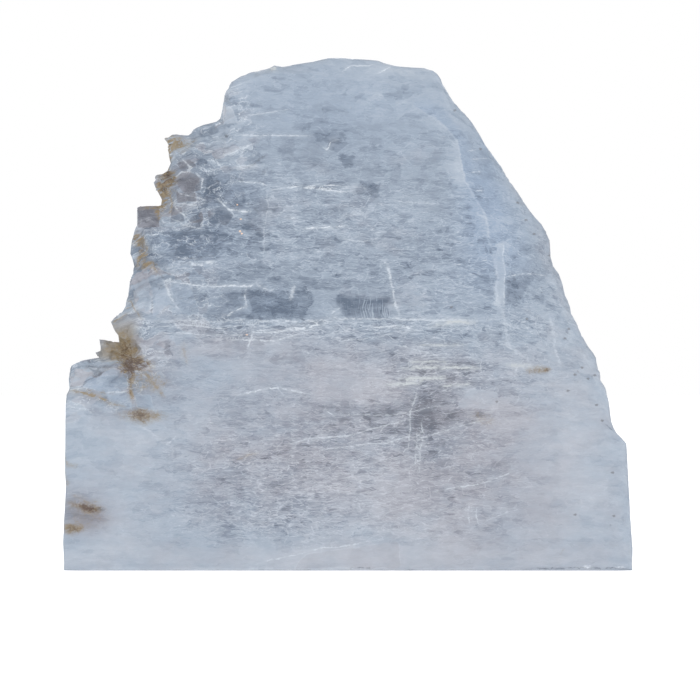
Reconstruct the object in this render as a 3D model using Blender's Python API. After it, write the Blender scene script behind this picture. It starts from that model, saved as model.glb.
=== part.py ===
"""A selenite slab that stands on its sawn base.

Sizes are in millimetres: across is measured to the right from the middle of the base, up from the base,
and depth from the middle of the thickness towards the viewer. The broad face looks along -Y.
"""

import math
from collections import namedtuple

import bmesh
import bpy
import numpy as np
from mathutils import Vector, noise
from mathutils.geometry import delaunay_2d_cdt

THICKNESS = 34.0
METRES_PER_MM = 0.001
SHARP_ANGLE = math.radians(32)

# The mesh: how far apart its points lie inside a face, in the rough left end and round the rim
FRONT_SPACING = 6.0
BACK_SPACING = 9.5
ROUGH_SPACING = 3.2
RIM_SPACING = 5.0
WALL_RINGS = 5
# Points of the net keep this share of the spacing to the rim and to each crease
NET_GAP = 0.45
CREASE_RIM_GAP = 1.5
CREASE_GAP = 1.2
GRID_WIDTH, GRID_HEIGHT = 290.0, 260.0
GRID_SHIFT = 0.45

# The silhouette, from the foot of the left side, over the top, to the foot of the right side
LEFT_SIDE = [
    (-142.2, 0), (-142.8, 13), (-142.3, 25), (-141.9, 31.5), (-141.4, 42), (-141.9, 49),
    (-141.7, 63.5), (-141.5, 83), (-141, 88), (-140, 90), (-140.5, 97), (-140.2, 101), (-139.4, 102.7),
    (-136.9, 104), (-133.7, 105.1), (-128.5, 106),
]
BLADES = [
    (-125.4, 106.5), (-127.6, 109), (-125, 110), (-124.9, 112.1), (-125.4, 115.6), (-122.2, 115.3),
    (-118.4, 114.6), (-115.5, 114.3),
]
LEFT_TERMINATION = [
    (-115.7, 117.6), (-117.1, 119.3), (-118.5, 121.7), (-119.6, 124.3), (-117.8, 126.8), (-114.3, 129.4),
    (-112.4, 132), (-112.1, 135), (-110.9, 138), (-110.1, 144), (-108.5, 148.5), (-107.9, 152.3),
    (-108.5, 155), (-109.7, 158.5), (-109.2, 162.5), (-108.8, 165.7), (-107.3, 170.5), (-106.2, 173),
    (-106.1, 181.9), (-104.4, 182.7), (-101.5, 183), (-94.4, 183), (-94, 186), (-95.5, 188.7),
    (-97.2, 192), (-98, 194.5), (-96.9, 196), (-97, 197.5), (-96, 198.5), (-93.4, 198.9), (-91, 200.3),
    (-89.3, 204.2), (-90, 206.6), (-90.7, 210), (-90.7, 213), (-91.6, 215), (-92.8, 216.8),
    (-90.7, 217.4), (-88.8, 218.9), (-86.5, 219.2), (-82.7, 218.6), (-80.5, 218.5), (-79.2, 219.4),
    (-77.9, 221.3), (-76, 222.5), (-72.5, 223.5), (-66.1, 225),
]
CROWN = [
    (-64.5, 226.7), (-63.6, 229.6), (-62.9, 235.3), (-62.6, 238), (-61.5, 240.7), (-60.4, 241.8),
    (-60, 243.3), (-58.8, 245.2), (-54, 248.1), (-48.8, 249.9), (-45.3, 250.2), (-43.4, 251.1),
    (-39.6, 251.8), (-37, 253.2), (-33.2, 252.5), (-29.4, 253.2), (-23, 254.1), (-17.9, 254.9),
    (-13.4, 256), (-9, 257), (-3.9, 257.1), (2.5, 256.7), (10.2, 256.2), (15.3, 255.7), (18.5, 254.4),
    (26.2, 252.6), (32, 252.1), (38.3, 251.9), (41.5, 251.1), (43.8, 250.3),
]
RIGHT_SLOPE = [
    (45, 248.4), (46.6, 246.1), (47.6, 243.9), (49.8, 240.4), (51.7, 237.2), (53.7, 234.3), (57.5, 230.2),
    (61.9, 225.7), (63.9, 222.9), (67, 218.1), (69.6, 213.3), (72.8, 209.2), (77.2, 202.8), (79.8, 197.7),
    (83.6, 192.6), (86.8, 187.5), (90, 183), (94.5, 177.3), (97.8, 174), (100, 170), (101.6, 165.5),
    (102.2, 157.2), (103.5, 152.7), (106.4, 148.9), (108.3, 143.8), (109.6, 138.1), (112.1, 132.3),
    (112.8, 128.5), (115.9, 122.8), (117.9, 117.7), (121.1, 111.9), (123.6, 108.7), (125, 106.2),
    (125.5, 103),
]
RIGHT_SIDE = [
    (127.2, 95.3), (128.6, 93.2), (129.7, 89.7), (131.1, 82.6), (132.1, 74.2), (133.2, 71.1),
    (134.9, 68.3), (138.1, 65.1), (139.5, 63.4), (139.7, 60.2), (140.5, 46.2), (141.3, 32.1),
    (142.7, 11.1), (142.3, 0),
]
SAWN_BASE = [(-142.2, 0), (142.3, 0)]

# How each stretch of the rim is worn, as the radius that rounds its front and back arris
Stretch = namedtuple("Stretch", "path front_wear back_wear")
STRETCHES = [
    Stretch(LEFT_SIDE, 1.8, 3.0),
    Stretch(BLADES, 1.0, 1.5),
    Stretch(LEFT_TERMINATION, 1.5, 2.5),
    Stretch(CROWN, 5.0, 6.0),
    Stretch(RIGHT_SLOPE, 3.6, 4.4),
    Stretch(RIGHT_SIDE, 2.6, 4.0),
    Stretch(SAWN_BASE, 0.7, 0.9),
]

# Where a broad face turns down to a natural prism face, from the rim downwards, and how steeply it falls
Facet = namedtuple("Facet", "ridge slope fade_from fade_to")
FRONT_FACET = Facet(
    [(45, 250), (46.6, 228), (53.7, 217), (56.8, 201.5), (57.8, 196), (61.9, 187.5), (70.2, 176.5),
     (70.7, 166), (74.5, 134), (77.7, 128), (80.2, 112), (86, 95), (97, 70)],
    slope=0.25, fade_from=128, fade_to=72,
)
BACK_FACET = Facet(
    [(38, 252), (44, 222), (58, 190), (63, 150), (82, 118), (90, 84), (108, 52)],
    slope=0.13, fade_from=110, fade_to=58,
)

# A broken sheet of the cleavage: it stands proud below its lip and runs out further down
Ledge = namedtuple("Ledge", "lip proud runs_out")
FRONT_LEDGES = [
    Ledge([(-99, 126.2), (-60, 125.3), (-42, 125.3), (-26, 126), (-12, 124), (0, 125.3), (26, 125.3),
           (45, 124), (57, 124), (66, 127.9), (77, 129.3)], 0.9, 34),
    Ledge([(-42, 189.5), (-31, 190.8), (-24, 192), (-10, 191.4), (-1, 190), (12, 189.5)], 0.8, 26),
    Ledge([(-66, 218.2), (-58, 218.4), (-42, 217.9), (-19, 217.4), (-10, 217)], 0.6, 22),
    Ledge([(-95, 156), (-86, 155.5), (-74, 153.5), (-66, 154.6), (-52, 154.2)], 0.8, 8),
    Ledge([(-93, 145.3), (-82, 144.7), (-72, 142.4), (-52, 142.8), (-44, 142), (-36, 140.4)], 0.7, 10),
]
BACK_LEDGES = [
    Ledge([(-88, 171), (-52, 173.5), (-20, 170), (14, 172), (48, 169)], 1.2, 46),
    Ledge([(-104, 82), (-60, 79), (-24, 83), (30, 80.5), (74, 84), (112, 81)], 1.0, 40),
]
LIP_WIDTH = 0.9
# Each end of a lip dies away over this share of its length
LIP_ENDS = 0.12

# The rough left end falls back in broken sheets, each (how far in from the rim, how deep)
FRONT_TERRACES = [(13.0, 1.8), (8.0, 2.8), (3.6, 2.8)]
BACK_TERRACES = [(17.0, 2.6), (10.0, 3.6), (4.5, 2.6)]
# Between which heights the terraces set in, and between which they stop
TERRACES_START = (86.0, 100.0)
TERRACES_STOP = (234.0, 220.0)
# A terrace drops between these shares of its width, which wanders by (how much, over what length)
TERRACE_EDGE = (1.35, 0.75)
TERRACE_WANDER = [(0.75, 9.0), (0.35, 4.0)]

# Bulges and hollows: middle, half width and half height, and height (down if negative)
Swell = namedtuple("Swell", "across up half_width half_height rise")
SWELL_STEEPNESS = 1.5
FRONT_SWELLS = [
    Swell(-108, 107, 9, 8, -4.5),
    Swell(-123, 98, 14, 5.5, 1.7),
    Swell(-112, 88.5, 9, 5, 1.5),
    Swell(-127, 84, 12, 4, -1.3),
    Swell(-105, 78, 10, 4, -2.0),
    Swell(-131, 33, 12, 4, -1.4),
    Swell(-98, 190, 7, 5, 1.2),
    Swell(-30, 92, 44, 22, 0.5),
    Swell(64, 48, 40, 30, -0.6),
    Swell(-70, 134, 30, 7, -0.7),
    Swell(10, 130, 14, 5, -0.8),
]
BACK_SWELLS = [
    Swell(-70, 200, 34, 18, -1.6),
    Swell(30, 120, 50, 30, 0.9),
    Swell(-96, 44, 30, 26, 1.1),
]

# Where the blades fan out from the stained hollow, how far they lie back, and how many there are in a turn
BLADE_ROOT = (-108.0, 106.0)
BLADE_SETBACK = 5.2
BLADE_RIDGE = 0.9
BLADES_IN_A_TURN = 26
# From the root, between which distances the blades begin to the left, and above and below
BLADES_LEFT = (-5.0, -9.0)
BLADES_BOTTOM = (0.0, 2.5)
BLADES_TOP = (11.0, 8.5)

# How far the sheets of the cleavage lie back in the wall round the rim, and how far their edges sway
WALL_RELIEF, WALL_RELIEF_LENGTH = 1.3, 14.0
WALL_SHEET_EDGE = (-0.3, 0.4)
WALL_SWAY, WALL_SWAY_LENGTH = 0.07, 11.0
UNDULATION, UNDULATION_LENGTH = 0.45, 38.0
GRAIN, GRAIN_LENGTH = 0.05, 1.7
# Each use of the noise takes a layer of its own, so that no two patterns match
UNDULATION_LAYER, GRAIN_LAYER, NET_LAYER, WALL_SWAY_LAYER, WALL_RELIEF_LAYER = 9, 12, 39, 80.5, 90.5
STONE_COLOUR = (0.39, 0.46, 0.55, 1.0)

# All that differs between the two broad faces; outward is the way that a face looks along Y
Side = namedtuple("Side", "outward facet ledges swells terraces wear spacing rough_reach layer")
FRONT = Side(
    outward=-1, facet=FRONT_FACET, ledges=FRONT_LEDGES, swells=FRONT_SWELLS, terraces=FRONT_TERRACES,
    wear=[stretch.front_wear for stretch in STRETCHES],
    spacing=FRONT_SPACING, rough_reach=15.0, layer=1.5,
)
BACK = Side(
    outward=1, facet=BACK_FACET, ledges=BACK_LEDGES, swells=BACK_SWELLS, terraces=BACK_TERRACES,
    wear=[stretch.back_wear for stretch in STRETCHES],
    spacing=BACK_SPACING, rough_reach=9.0, layer=21.5,
)


def smooth_step(low, high, value):
    """0 up to low, 1 from high, and an even ease in between; high may be the lower of the two."""
    share = np.clip((value - low) / (high - low), 0.0, 1.0)
    return share * share * (3.0 - 2.0 * share)


def distance_to_path(points, path):
    """How far each point lies from a line through the path's points."""
    best = np.full(len(points), np.inf)
    for start, end in zip(path[:-1], path[1:]):
        start, along = np.array(start, float), np.subtract(end, start).astype(float)
        share = np.clip((points - start) @ along / (along @ along), 0.0, 1.0)
        best = np.minimum(best, np.linalg.norm(points - start - share[:, None] * along, axis=1))
    return best


def smooth_noise(points, length, layer):
    """Even noise from about -1 to 1 whose waves are about length long; layer picks another pattern."""
    return np.array([
        noise.noise(Vector((across / length, up / length, layer))) for across, up in points
    ])


def worn_arris(distance, radius):
    """How far a rounded arris lies below the face, at a distance in from the rim."""
    inward = np.clip(radius - distance, 0.0, radius)
    return radius - np.sqrt(radius**2 - inward**2)


def facet_drop(points, facet):
    """How far a prism face lies below the broad face that it turns down from."""
    ups = [up for _, up in reversed(facet.ridge)]
    acrosses = [across for across, _ in reversed(facet.ridge)]
    beyond = np.clip(points[:, 0] - np.interp(points[:, 1], ups, acrosses), 0.0, None)
    return facet.slope * beyond * smooth_step(facet.fade_to, facet.fade_from, points[:, 1])


def ledge_rise(points, ledge):
    """How far a broken sheet stands proud below its lip."""
    acrosses = [across for across, _ in ledge.lip]
    ups = [up for _, up in ledge.lip]
    below = np.interp(points[:, 0], acrosses, ups) - points[:, 1]
    at_lip = smooth_step(-LIP_WIDTH / 2, LIP_WIDTH / 2, below)
    run_out = np.clip(1.0 - below / ledge.runs_out, 0.0, 1.0)
    end = LIP_ENDS * (acrosses[-1] - acrosses[0])
    inside = smooth_step(acrosses[0], acrosses[0] + end, points[:, 0])
    inside *= smooth_step(acrosses[-1], acrosses[-1] - end, points[:, 0])
    return ledge.proud * at_lip * run_out * inside


def swell_rise(points, swell):
    """A round bulge or hollow that fades out at its edge."""
    across = (points[:, 0] - swell.across) / swell.half_width
    up = (points[:, 1] - swell.up) / swell.half_height
    return swell.rise * np.clip(1.0 - across**2 - up**2, 0.0, None) ** SWELL_STEEPNESS


def termination_drop(points, side):
    """How far the rough left end falls back towards the rim, in ragged terraces."""
    broken_rim = [place for place in LEFT_SIDE if place[1] > TERRACES_START[0]] + BLADES + LEFT_TERMINATION
    distance = distance_to_path(points, broken_rim)
    wander = 1.0 + sum(
        amount * smooth_noise(points, length, side.layer + 3 * k)
        for k, (amount, length) in enumerate(TERRACE_WANDER)
    )
    drop = sum(
        depth * smooth_step(*TERRACE_EDGE, distance / (width * np.clip(wander, 0.25, 2.0)))
        for width, depth in side.terraces
    )
    return drop * smooth_step(*TERRACES_START, points[:, 1]) * smooth_step(*TERRACES_STOP, points[:, 1])


def blade_drop(points):
    """The stained blades lie back from the face, in ridges that fan out from one root."""
    across, up = points[:, 0] - BLADE_ROOT[0], points[:, 1] - BLADE_ROOT[1]
    inside = smooth_step(*BLADES_BOTTOM, up) * smooth_step(*BLADES_TOP, up)
    inside *= smooth_step(*BLADES_LEFT, across)
    ridges = np.abs(np.sin(np.arctan2(up, -across) * BLADES_IN_A_TURN / 2))
    return inside * (BLADE_SETBACK - BLADE_RIDGE * ridges)


def face_depth(points, side):
    """The depth of one broad face at each (across, up), counted out from the middle of the slab."""
    depth = THICKNESS / 2 - facet_drop(points, side.facet) - termination_drop(points, side)
    if side is FRONT:
        depth -= blade_drop(points)
    for ledge in side.ledges:
        depth += ledge_rise(points, ledge)
    for swell in side.swells:
        depth += swell_rise(points, swell)
    depth -= np.max([
        worn_arris(distance_to_path(points, stretch.path), radius)
        for stretch, radius in zip(STRETCHES, side.wear)
    ], axis=0)
    depth += UNDULATION * smooth_noise(points, UNDULATION_LENGTH, side.layer + UNDULATION_LAYER)
    return depth + GRAIN * smooth_noise(points, GRAIN_LENGTH, side.layer + GRAIN_LAYER)


def split_path(path, spacing):
    """The path's points, with more between them wherever they are further apart than spacing."""
    points = []
    for start, end in zip(path[:-1], path[1:]):
        pieces = max(1, round(math.dist(start, end) / spacing))
        points += [tuple(np.add(start, np.subtract(end, start) * i / pieces)) for i in range(pieces)]
    return [*points, tuple(path[-1])]


def rim_points():
    """The silhouette as one closed ring of (across, up), from the foot of the left side clockwise."""
    outer = LEFT_SIDE + BLADES + LEFT_TERMINATION + CROWN + RIGHT_SLOPE + RIGHT_SIDE
    base = split_path(SAWN_BASE[::-1], RIM_SPACING * 1.5)
    return np.array(split_path(outer, RIM_SPACING)[:-1] + base[:-1], float)


def creases(side):
    """The lines that the triangles of a face follow: its prism ridge, and both sides of each lip."""
    lines = [split_path(side.facet.ridge[1:], RIM_SPACING)]
    for ledge in side.ledges:
        for offset in (-LIP_WIDTH / 2, LIP_WIDTH / 2):
            lines.append(split_path([(across, up + offset) for across, up in ledge.lip], RIM_SPACING))
    return lines


def staggered_grid(spacing, layer):
    """Points over the whole slab in staggered rows, each moved a little so that no row shows."""
    row_height = spacing * math.sqrt(0.75)
    grid = np.array([
        ((column + 0.5 * (row % 2)) * spacing - GRID_WIDTH / 2, row * row_height)
        for row in range(int(GRID_HEIGHT / row_height))
        for column in range(int(GRID_WIDTH / spacing))
    ])
    shift = np.column_stack([smooth_noise(grid, spacing * 0.9, layer + k) for k in (0, 7)])
    return grid + GRID_SHIFT * spacing * shift


def inside_ring(points, ring):
    """Whether each point lies inside a closed ring."""
    inside = np.zeros(len(points), bool)
    for (x0, z0), (x1, z1) in zip(ring, np.roll(ring, -1, axis=0)):
        if z0 == z1:
            continue
        crosses = (points[:, 1] > min(z0, z1)) & (points[:, 1] <= max(z0, z1))
        inside ^= crosses & (points[:, 0] < x0 + (points[:, 1] - z0) * (x1 - x0) / (z1 - z0))
    return inside


def crease_points(rim, side):
    """The points of each crease that lie clear of the rim and of the creases before it."""
    closed_rim = [*rim, rim[0]]
    kept_lines = []
    for line in creases(side):
        places = np.array(line)
        clear = inside_ring(places, rim) & (distance_to_path(places, closed_rim) > CREASE_RIM_GAP)
        taken = [place for kept in kept_lines for place in kept]
        kept_lines.append([
            place for place, is_clear in zip(line, clear)
            if is_clear and all(math.dist(place, other) > CREASE_GAP for other in taken)
        ])
    return [line for line in kept_lines if len(line) > 1]


def grid_points(rim, side, lines):
    """The points inside a face, closer together in the rough left end, clear of the rim and the creases."""
    broken_rim = BLADES + LEFT_TERMINATION
    layer = side.layer + NET_LAYER
    coarse, fine = staggered_grid(side.spacing, layer), staggered_grid(ROUGH_SPACING, layer + 1)
    coarse = coarse[distance_to_path(coarse, broken_rim) > side.rough_reach]
    fine = fine[distance_to_path(fine, broken_rim) <= side.rough_reach]
    points = []
    for grid, spacing in ((coarse, side.spacing), (fine, ROUGH_SPACING)):
        grid = grid[inside_ring(grid, rim)]
        for line in ([*rim, rim[0]], *lines):
            grid = grid[distance_to_path(grid, line) > NET_GAP * spacing]
        points += list(map(tuple, grid))
    return points


def face_net(rim, side):
    """Triangles over one broad face: its (across, up) points, the rim's first, and index triples."""
    points = list(map(tuple, rim))
    segments = [(i, (i + 1) % len(rim)) for i in range(len(rim))]
    lines = crease_points(rim, side)
    for line in lines:
        segments += [(len(points) + i, len(points) + i + 1) for i in range(len(line) - 1)]
        points += line
    points += grid_points(rim, side, lines)
    found = delaunay_2d_cdt([Vector(p) for p in points], segments, [], 1, 1e-4)
    net = np.array([tuple(v) for v in found[0]])
    if not np.allclose(net[: len(rim)], rim, atol=1e-3):
        raise ValueError("the rim's points come first in a face's net")
    return net, found[2]


def inward_room(rim):
    """At each rim point, the way in from the rim as a vector, shorter where the rim is finely broken."""
    back, ahead = rim - np.roll(rim, 1, axis=0), np.roll(rim, -1, axis=0) - rim
    lengths = np.minimum(np.linalg.norm(back, axis=1), np.linalg.norm(ahead, axis=1))
    along = back + ahead
    inward = np.column_stack([along[:, 1], -along[:, 0]]) / np.linalg.norm(along, axis=1)[:, None]
    inward[rim[:, 1] < 1.0] = 0.0
    return inward * np.clip(lengths / RIM_SPACING, 0.0, 1.0)[:, None]


def wall_rings(mesh, rim, front_ring, back_ring):
    """The rings of the wall between the two faces, where sheets of the cleavage lie back in turn."""
    inward = inward_room(rim)
    rings = []
    for k in range(1, WALL_RINGS):
        share = k / WALL_RINGS + WALL_SWAY * smooth_noise(rim, WALL_SWAY_LENGTH, WALL_SWAY_LAYER + k)
        sheet = smooth_noise(rim, WALL_RELIEF_LENGTH, WALL_RELIEF_LAYER + 5 * k)
        set_back = inward * (WALL_RELIEF * smooth_step(*WALL_SHEET_EDGE, sheet))[:, None]
        rings.append([
            mesh.verts.new(front.co.lerp(back.co, along) + Vector((across, 0, up)))
            for front, back, along, (across, up) in zip(front_ring, back_ring, share, set_back)
        ])
    return rings


def build_slab():
    """The two broad faces, joined round the rim by a wall of a few rings."""
    rim = rim_points()
    mesh = bmesh.new()
    rims = []
    for side in (FRONT, BACK):
        net, triangles = face_net(rim, side)
        depths = side.outward * face_depth(net, side)
        verts = [mesh.verts.new((across, depth, up)) for (across, up), depth in zip(net, depths)]
        for triangle in triangles:
            mesh.faces.new([verts[i] for i in triangle])
        rims.append(verts[: len(rim)])
    stack = [rims[0], *wall_rings(mesh, rim, *rims), rims[1]]
    for upper, lower in zip(stack[:-1], stack[1:]):
        for i in range(len(rim)):
            j = (i + 1) % len(rim)
            mesh.faces.new([upper[i], upper[j], lower[j]])
            mesh.faces.new([upper[i], lower[j], lower[i]])
    bmesh.ops.recalc_face_normals(mesh, faces=mesh.faces)
    stand_over_origin(mesh)
    return mesh


def stand_over_origin(mesh):
    """Scales the mesh to metres, with the middle of its box over the origin and its base on the ground."""
    places = np.array([v.co for v in mesh.verts])
    middle = (places.min(0) + places.max(0)) / 2
    bmesh.ops.translate(mesh, verts=mesh.verts, vec=(-middle[0], -middle[1], 0))
    bmesh.ops.scale(mesh, verts=mesh.verts, vec=(METRES_PER_MM,) * 3)


def stone_material():
    """Pale blue-grey stone with a satin polish."""
    material = bpy.data.materials.new("selenite")
    material.use_nodes = True
    shader = material.node_tree.nodes["Principled BSDF"]
    shader.inputs["Base Color"].default_value = STONE_COLOUR
    shader.inputs["Roughness"].default_value = 0.35
    shader.inputs["Metallic"].default_value = 0.0
    return material


def main():
    for old in list(bpy.data.objects):
        bpy.data.objects.remove(old)
    data = bpy.data.meshes.new("selenite_slab")
    slab = build_slab()
    slab.to_mesh(data)
    slab.free()
    data.materials.append(stone_material())
    data.shade_smooth()
    data.set_sharp_from_angle(angle=SHARP_ANGLE)
    bpy.context.scene.collection.objects.link(bpy.data.objects.new("selenite_slab", data))


main()
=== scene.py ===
# %% [markdown]
# # A slab of selenite
# Selenite is gypsum that grew as one clear crystal. It splits in sheets like mica, and wherever a sheet has
# lifted inside the stone, light comes back from the gap: that is where the milk, the silk and the white
# veins come from. Here the solid of the part becomes a finely meshed, polished stone with that inner life.
# Everything below is in the part's own frame. Sizes are millimetres, and only the mesh itself is in metres.

import math
from collections import namedtuple

import bmesh
import bpy
import numpy as np
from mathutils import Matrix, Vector, kdtree, noise


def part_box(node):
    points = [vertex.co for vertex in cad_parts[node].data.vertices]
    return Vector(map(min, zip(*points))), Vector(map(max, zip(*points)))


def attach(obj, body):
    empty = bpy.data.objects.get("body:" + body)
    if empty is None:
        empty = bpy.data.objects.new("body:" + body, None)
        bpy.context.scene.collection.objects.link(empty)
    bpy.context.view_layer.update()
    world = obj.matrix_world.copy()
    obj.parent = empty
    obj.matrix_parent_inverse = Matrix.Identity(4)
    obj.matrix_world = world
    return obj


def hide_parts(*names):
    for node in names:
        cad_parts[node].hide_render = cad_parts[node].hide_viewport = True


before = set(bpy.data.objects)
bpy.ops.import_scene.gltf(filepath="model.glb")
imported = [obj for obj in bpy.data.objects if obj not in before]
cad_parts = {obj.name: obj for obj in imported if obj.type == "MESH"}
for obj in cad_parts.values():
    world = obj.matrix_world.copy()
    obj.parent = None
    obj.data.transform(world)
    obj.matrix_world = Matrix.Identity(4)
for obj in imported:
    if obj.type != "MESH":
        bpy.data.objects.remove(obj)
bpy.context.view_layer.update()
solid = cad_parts["selenite_slab"]
MM = 0.001
LOWEST, HIGHEST = (np.array(corner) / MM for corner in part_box("selenite_slab"))
print("the solid measures", (HIGHEST - LOWEST).round(1), "mm")

# %% [markdown]
# ## The camera
# The photograph looks straight at the broad face, level with its middle. A long lens from a distance keeps
# the sides parallel. Its length follows from the width that the picture has at the face.

# %% A level camera with a long lens
PICTURE_WIDTH = 350.0
PICTURE_MIDDLE = (1.0, 110.25)
CAMERA_DISTANCE = 1600.0
FACE_DEPTH = -17.5
SENSOR = 36.0

lens = bpy.data.cameras.new("camera")
lens.sensor_width = SENSOR
lens.lens = SENSOR * CAMERA_DISTANCE / PICTURE_WIDTH
lens.clip_start, lens.clip_end = 0.05, 60.0
camera = bpy.data.objects.new("camera", lens)
camera.location = np.array([PICTURE_MIDDLE[0], FACE_DEPTH - CAMERA_DISTANCE, PICTURE_MIDDLE[1]]) * MM
camera.rotation_euler = (math.radians(90), 0, 0)
bpy.context.scene.collection.objects.link(camera)
bpy.context.scene.camera = camera
print("lens", round(lens.lens, 1), "mm")

# %% [markdown]
# ## Daylight and a pale floor
# The stone was photographed in shade under a bright sky: soft light from all round, a little more of it from
# above the camera. An even white world gives the first, and large area lights the second. The floor glows
# faintly, so that it stays pale under the slab and only a soft contact shadow is left.

# %% World, lights and floor
WORLD_STRENGTH = 1.0
FLOOR_SIZE = 12000.0
FLOOR_DROP = 0.1
FLOOR_GLOW = 0.28
FLOOR_WHITE = (0.93, 0.93, 0.935, 1)
FLOOR_ROUGHNESS = 0.9
Lamp = namedtuple("Lamp", "name place size power colour")
LAMPS = [
    Lamp("sky_from_the_left", (-900, -1100, 1300), 900, 7.0, (0.95, 0.98, 1.0)),
    Lamp("sky_from_the_right", (1300, -500, 700), 700, 2.6, (0.93, 0.97, 1.0)),
    Lamp("light_from_behind", (300, 1200, 900), 800, 4.0, (1.0, 1.0, 1.0)),
]

scene = bpy.context.scene
scene.view_settings.view_transform = "Standard"
world = bpy.data.worlds.new("even_sky")
world.use_nodes = True
world.node_tree.nodes["Background"].inputs["Color"].default_value = (1, 1, 1, 1)
world.node_tree.nodes["Background"].inputs["Strength"].default_value = WORLD_STRENGTH
scene.world = world

for lamp in LAMPS:
    light = bpy.data.lights.new(lamp.name, "AREA")
    light.size = lamp.size * MM
    light.energy = lamp.power
    light.color = lamp.colour
    holder = bpy.data.objects.new(lamp.name, light)
    holder.location = Vector(lamp.place) * MM
    towards = Vector((0, 0, HIGHEST[2] / 2)) * MM - holder.location
    holder.rotation_euler = towards.to_track_quat("-Z", "Y").to_euler()
    scene.collection.objects.link(holder)

sheet = bpy.data.meshes.new("floor")
half = FLOOR_SIZE / 2 * MM
corners = [(-half, -half, 0), (half, -half, 0), (half, half, 0), (-half, half, 0)]
sheet.from_pydata(corners, [], [(0, 1, 2, 3)])
floor = bpy.data.objects.new("floor", sheet)
floor.location.z = -FLOOR_DROP * MM
scene.collection.objects.link(floor)
paper = bpy.data.materials.new("pale_floor")
paper.use_nodes = True
paper_shader = paper.node_tree.nodes["Principled BSDF"]
paper_shader.inputs["Base Color"].default_value = FLOOR_WHITE
paper_shader.inputs["Roughness"].default_value = FLOOR_ROUGHNESS
paper_shader.inputs["Emission Color"].default_value = (1, 1, 1, 1)
paper_shader.inputs["Emission Strength"].default_value = FLOOR_GLOW
sheet.materials.append(paper)
print(len(LAMPS), "lamps")

# %% [markdown]
# ## A finer mesh
# The solid has triangles of some six millimetres, enough for its form but not for its skin. One could build
# the skin anew, but it has to lie exactly where the solid is. So the solid's mesh is copied and every edge
# that is too long is split, most finely on the face that the photograph shows.

# %% Split the long edges
FRONT_EDGE, BROKEN_EDGE, BACK_EDGE, WALL_EDGE = 1.7, 1.2, 3.4, 2.2
BROKEN_PART = (-80.0, 92.0)
FACING = 0.6
SPLIT_ROUNDS = 6
WELD = 0.01


def longest_allowed(edge):
    """The length in metres from which an edge is split."""
    facing = -(edge.verts[0].normal.y + edge.verts[1].normal.y) / 2
    middle = (edge.verts[0].co + edge.verts[1].co) / 2 / MM
    if facing < -FACING:
        return BACK_EDGE * MM
    if middle.x < BROKEN_PART[0] and middle.z > BROKEN_PART[1]:
        return BROKEN_EDGE * MM
    return (FRONT_EDGE if facing > FACING else WALL_EDGE) * MM


def split_long_edges(mesh):
    """Splits edges until none is longer than allowed."""
    for _ in range(SPLIT_ROUNDS):
        mesh.normal_update()
        long_edges = [edge for edge in mesh.edges if edge.calc_length() > longest_allowed(edge)]
        if not long_edges:
            break
        bmesh.ops.subdivide_edges(mesh, edges=long_edges, cuts=1)
        bmesh.ops.triangulate(mesh, faces=[face for face in mesh.faces if len(face.verts) > 3])


stone_mesh = bpy.data.meshes.new("polished_slab")
fine = bmesh.new()
fine.from_mesh(solid.data)
bmesh.ops.remove_doubles(fine, verts=fine.verts, dist=WELD * MM)
split_long_edges(fine)
fine.to_mesh(stone_mesh)
fine.free()
stone_mesh.shade_smooth()
slab = bpy.data.objects.new("polished_slab", stone_mesh)
scene.collection.objects.link(slab)
print(len(stone_mesh.vertices), "points,", len(stone_mesh.polygons), "triangles")

# %% [markdown]
# ## The mesh as arrays
# Tens of thousands of points are slow to visit one by one, so the mesh is read into numpy arrays once,
# shaped there, and written back. Two measures steer all that follows: which way the skin looks, and how far
# each point lies in from the rim.

# %% Points, normals and neighbours
WALL_FACING = (0.75, 0.45)
FOOT_HEIGHT = 0.3
count = len(stone_mesh.vertices)


def read(collection, name, width=3, kind=float):
    """One value of every element of a mesh, as rows of the given width."""
    values = np.empty(len(collection) * width, kind)
    collection.foreach_get(name, values)
    return values.reshape(-1, width)


places = read(stone_mesh.vertices, "co") / MM
edges = read(stone_mesh.edges, "vertices", 2, int)
degree = np.bincount(edges.ravel(), minlength=count)


def neighbour_mean(values):
    """The mean of each point's neighbours."""
    first, second = edges.T
    total = np.bincount(first, values[second], count) + np.bincount(second, values[first], count)
    return total / degree


def ease(low, high, value):
    """0 up to low, 1 from high, and an even ease in between; high may be the lower of the two."""
    share = np.clip((value - low) / (high - low), 0.0, 1.0)
    return share * share * (3.0 - 2.0 * share)


def waves(points, lengths, layer):
    """Even noise from about -1 to 1 with waves of these lengths; layer picks another pattern."""
    shifted = points / np.array(lengths, float) + layer * 7.31
    return np.array([noise.noise(Vector(point)) for point in shifted]) * 1.6


Wave = namedtuple("Wave", "height size layer")


def heights(points, parts):
    """Several waves laid over each other; the size of a wave is its length across, deep and up."""
    return sum(part.height * waves(points, part.size, part.layer) for part in parts)


normals = read(stone_mesh.vertices, "normal")
front = normals[:, 1] < 0
face_on = np.abs(normals[:, 1])
on_wall = ease(*WALL_FACING, face_on)
foot = places[:, 2] < FOOT_HEIGHT

# %% Distance in from the rim
WALL_POINT = 0.5
BROKEN_RIM_EAST = -60
BROKEN_RIM_HEIGHTS = (92, 228)


def distance_to_points(points, targets):
    """How far each point lies from the nearest target, seen from the front."""
    tree = kdtree.KDTree(len(targets))
    for i, (across, _, up) in enumerate(targets):
        tree.insert((across, 0, up), i)
    tree.balance()
    return np.array([tree.find((across, 0, up))[2] for across, _, up in points])


rim = places[face_on < WALL_POINT]
from_rim = distance_to_points(places, rim)
lowest, highest = BROKEN_RIM_HEIGHTS
broken_rim = rim[(rim[:, 0] < BROKEN_RIM_EAST) & (rim[:, 2] > lowest) & (rim[:, 2] < highest)]
from_broken_rim = distance_to_points(places, broken_rim)
print("rim points", len(rim), "of which broken", len(broken_rim))

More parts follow.
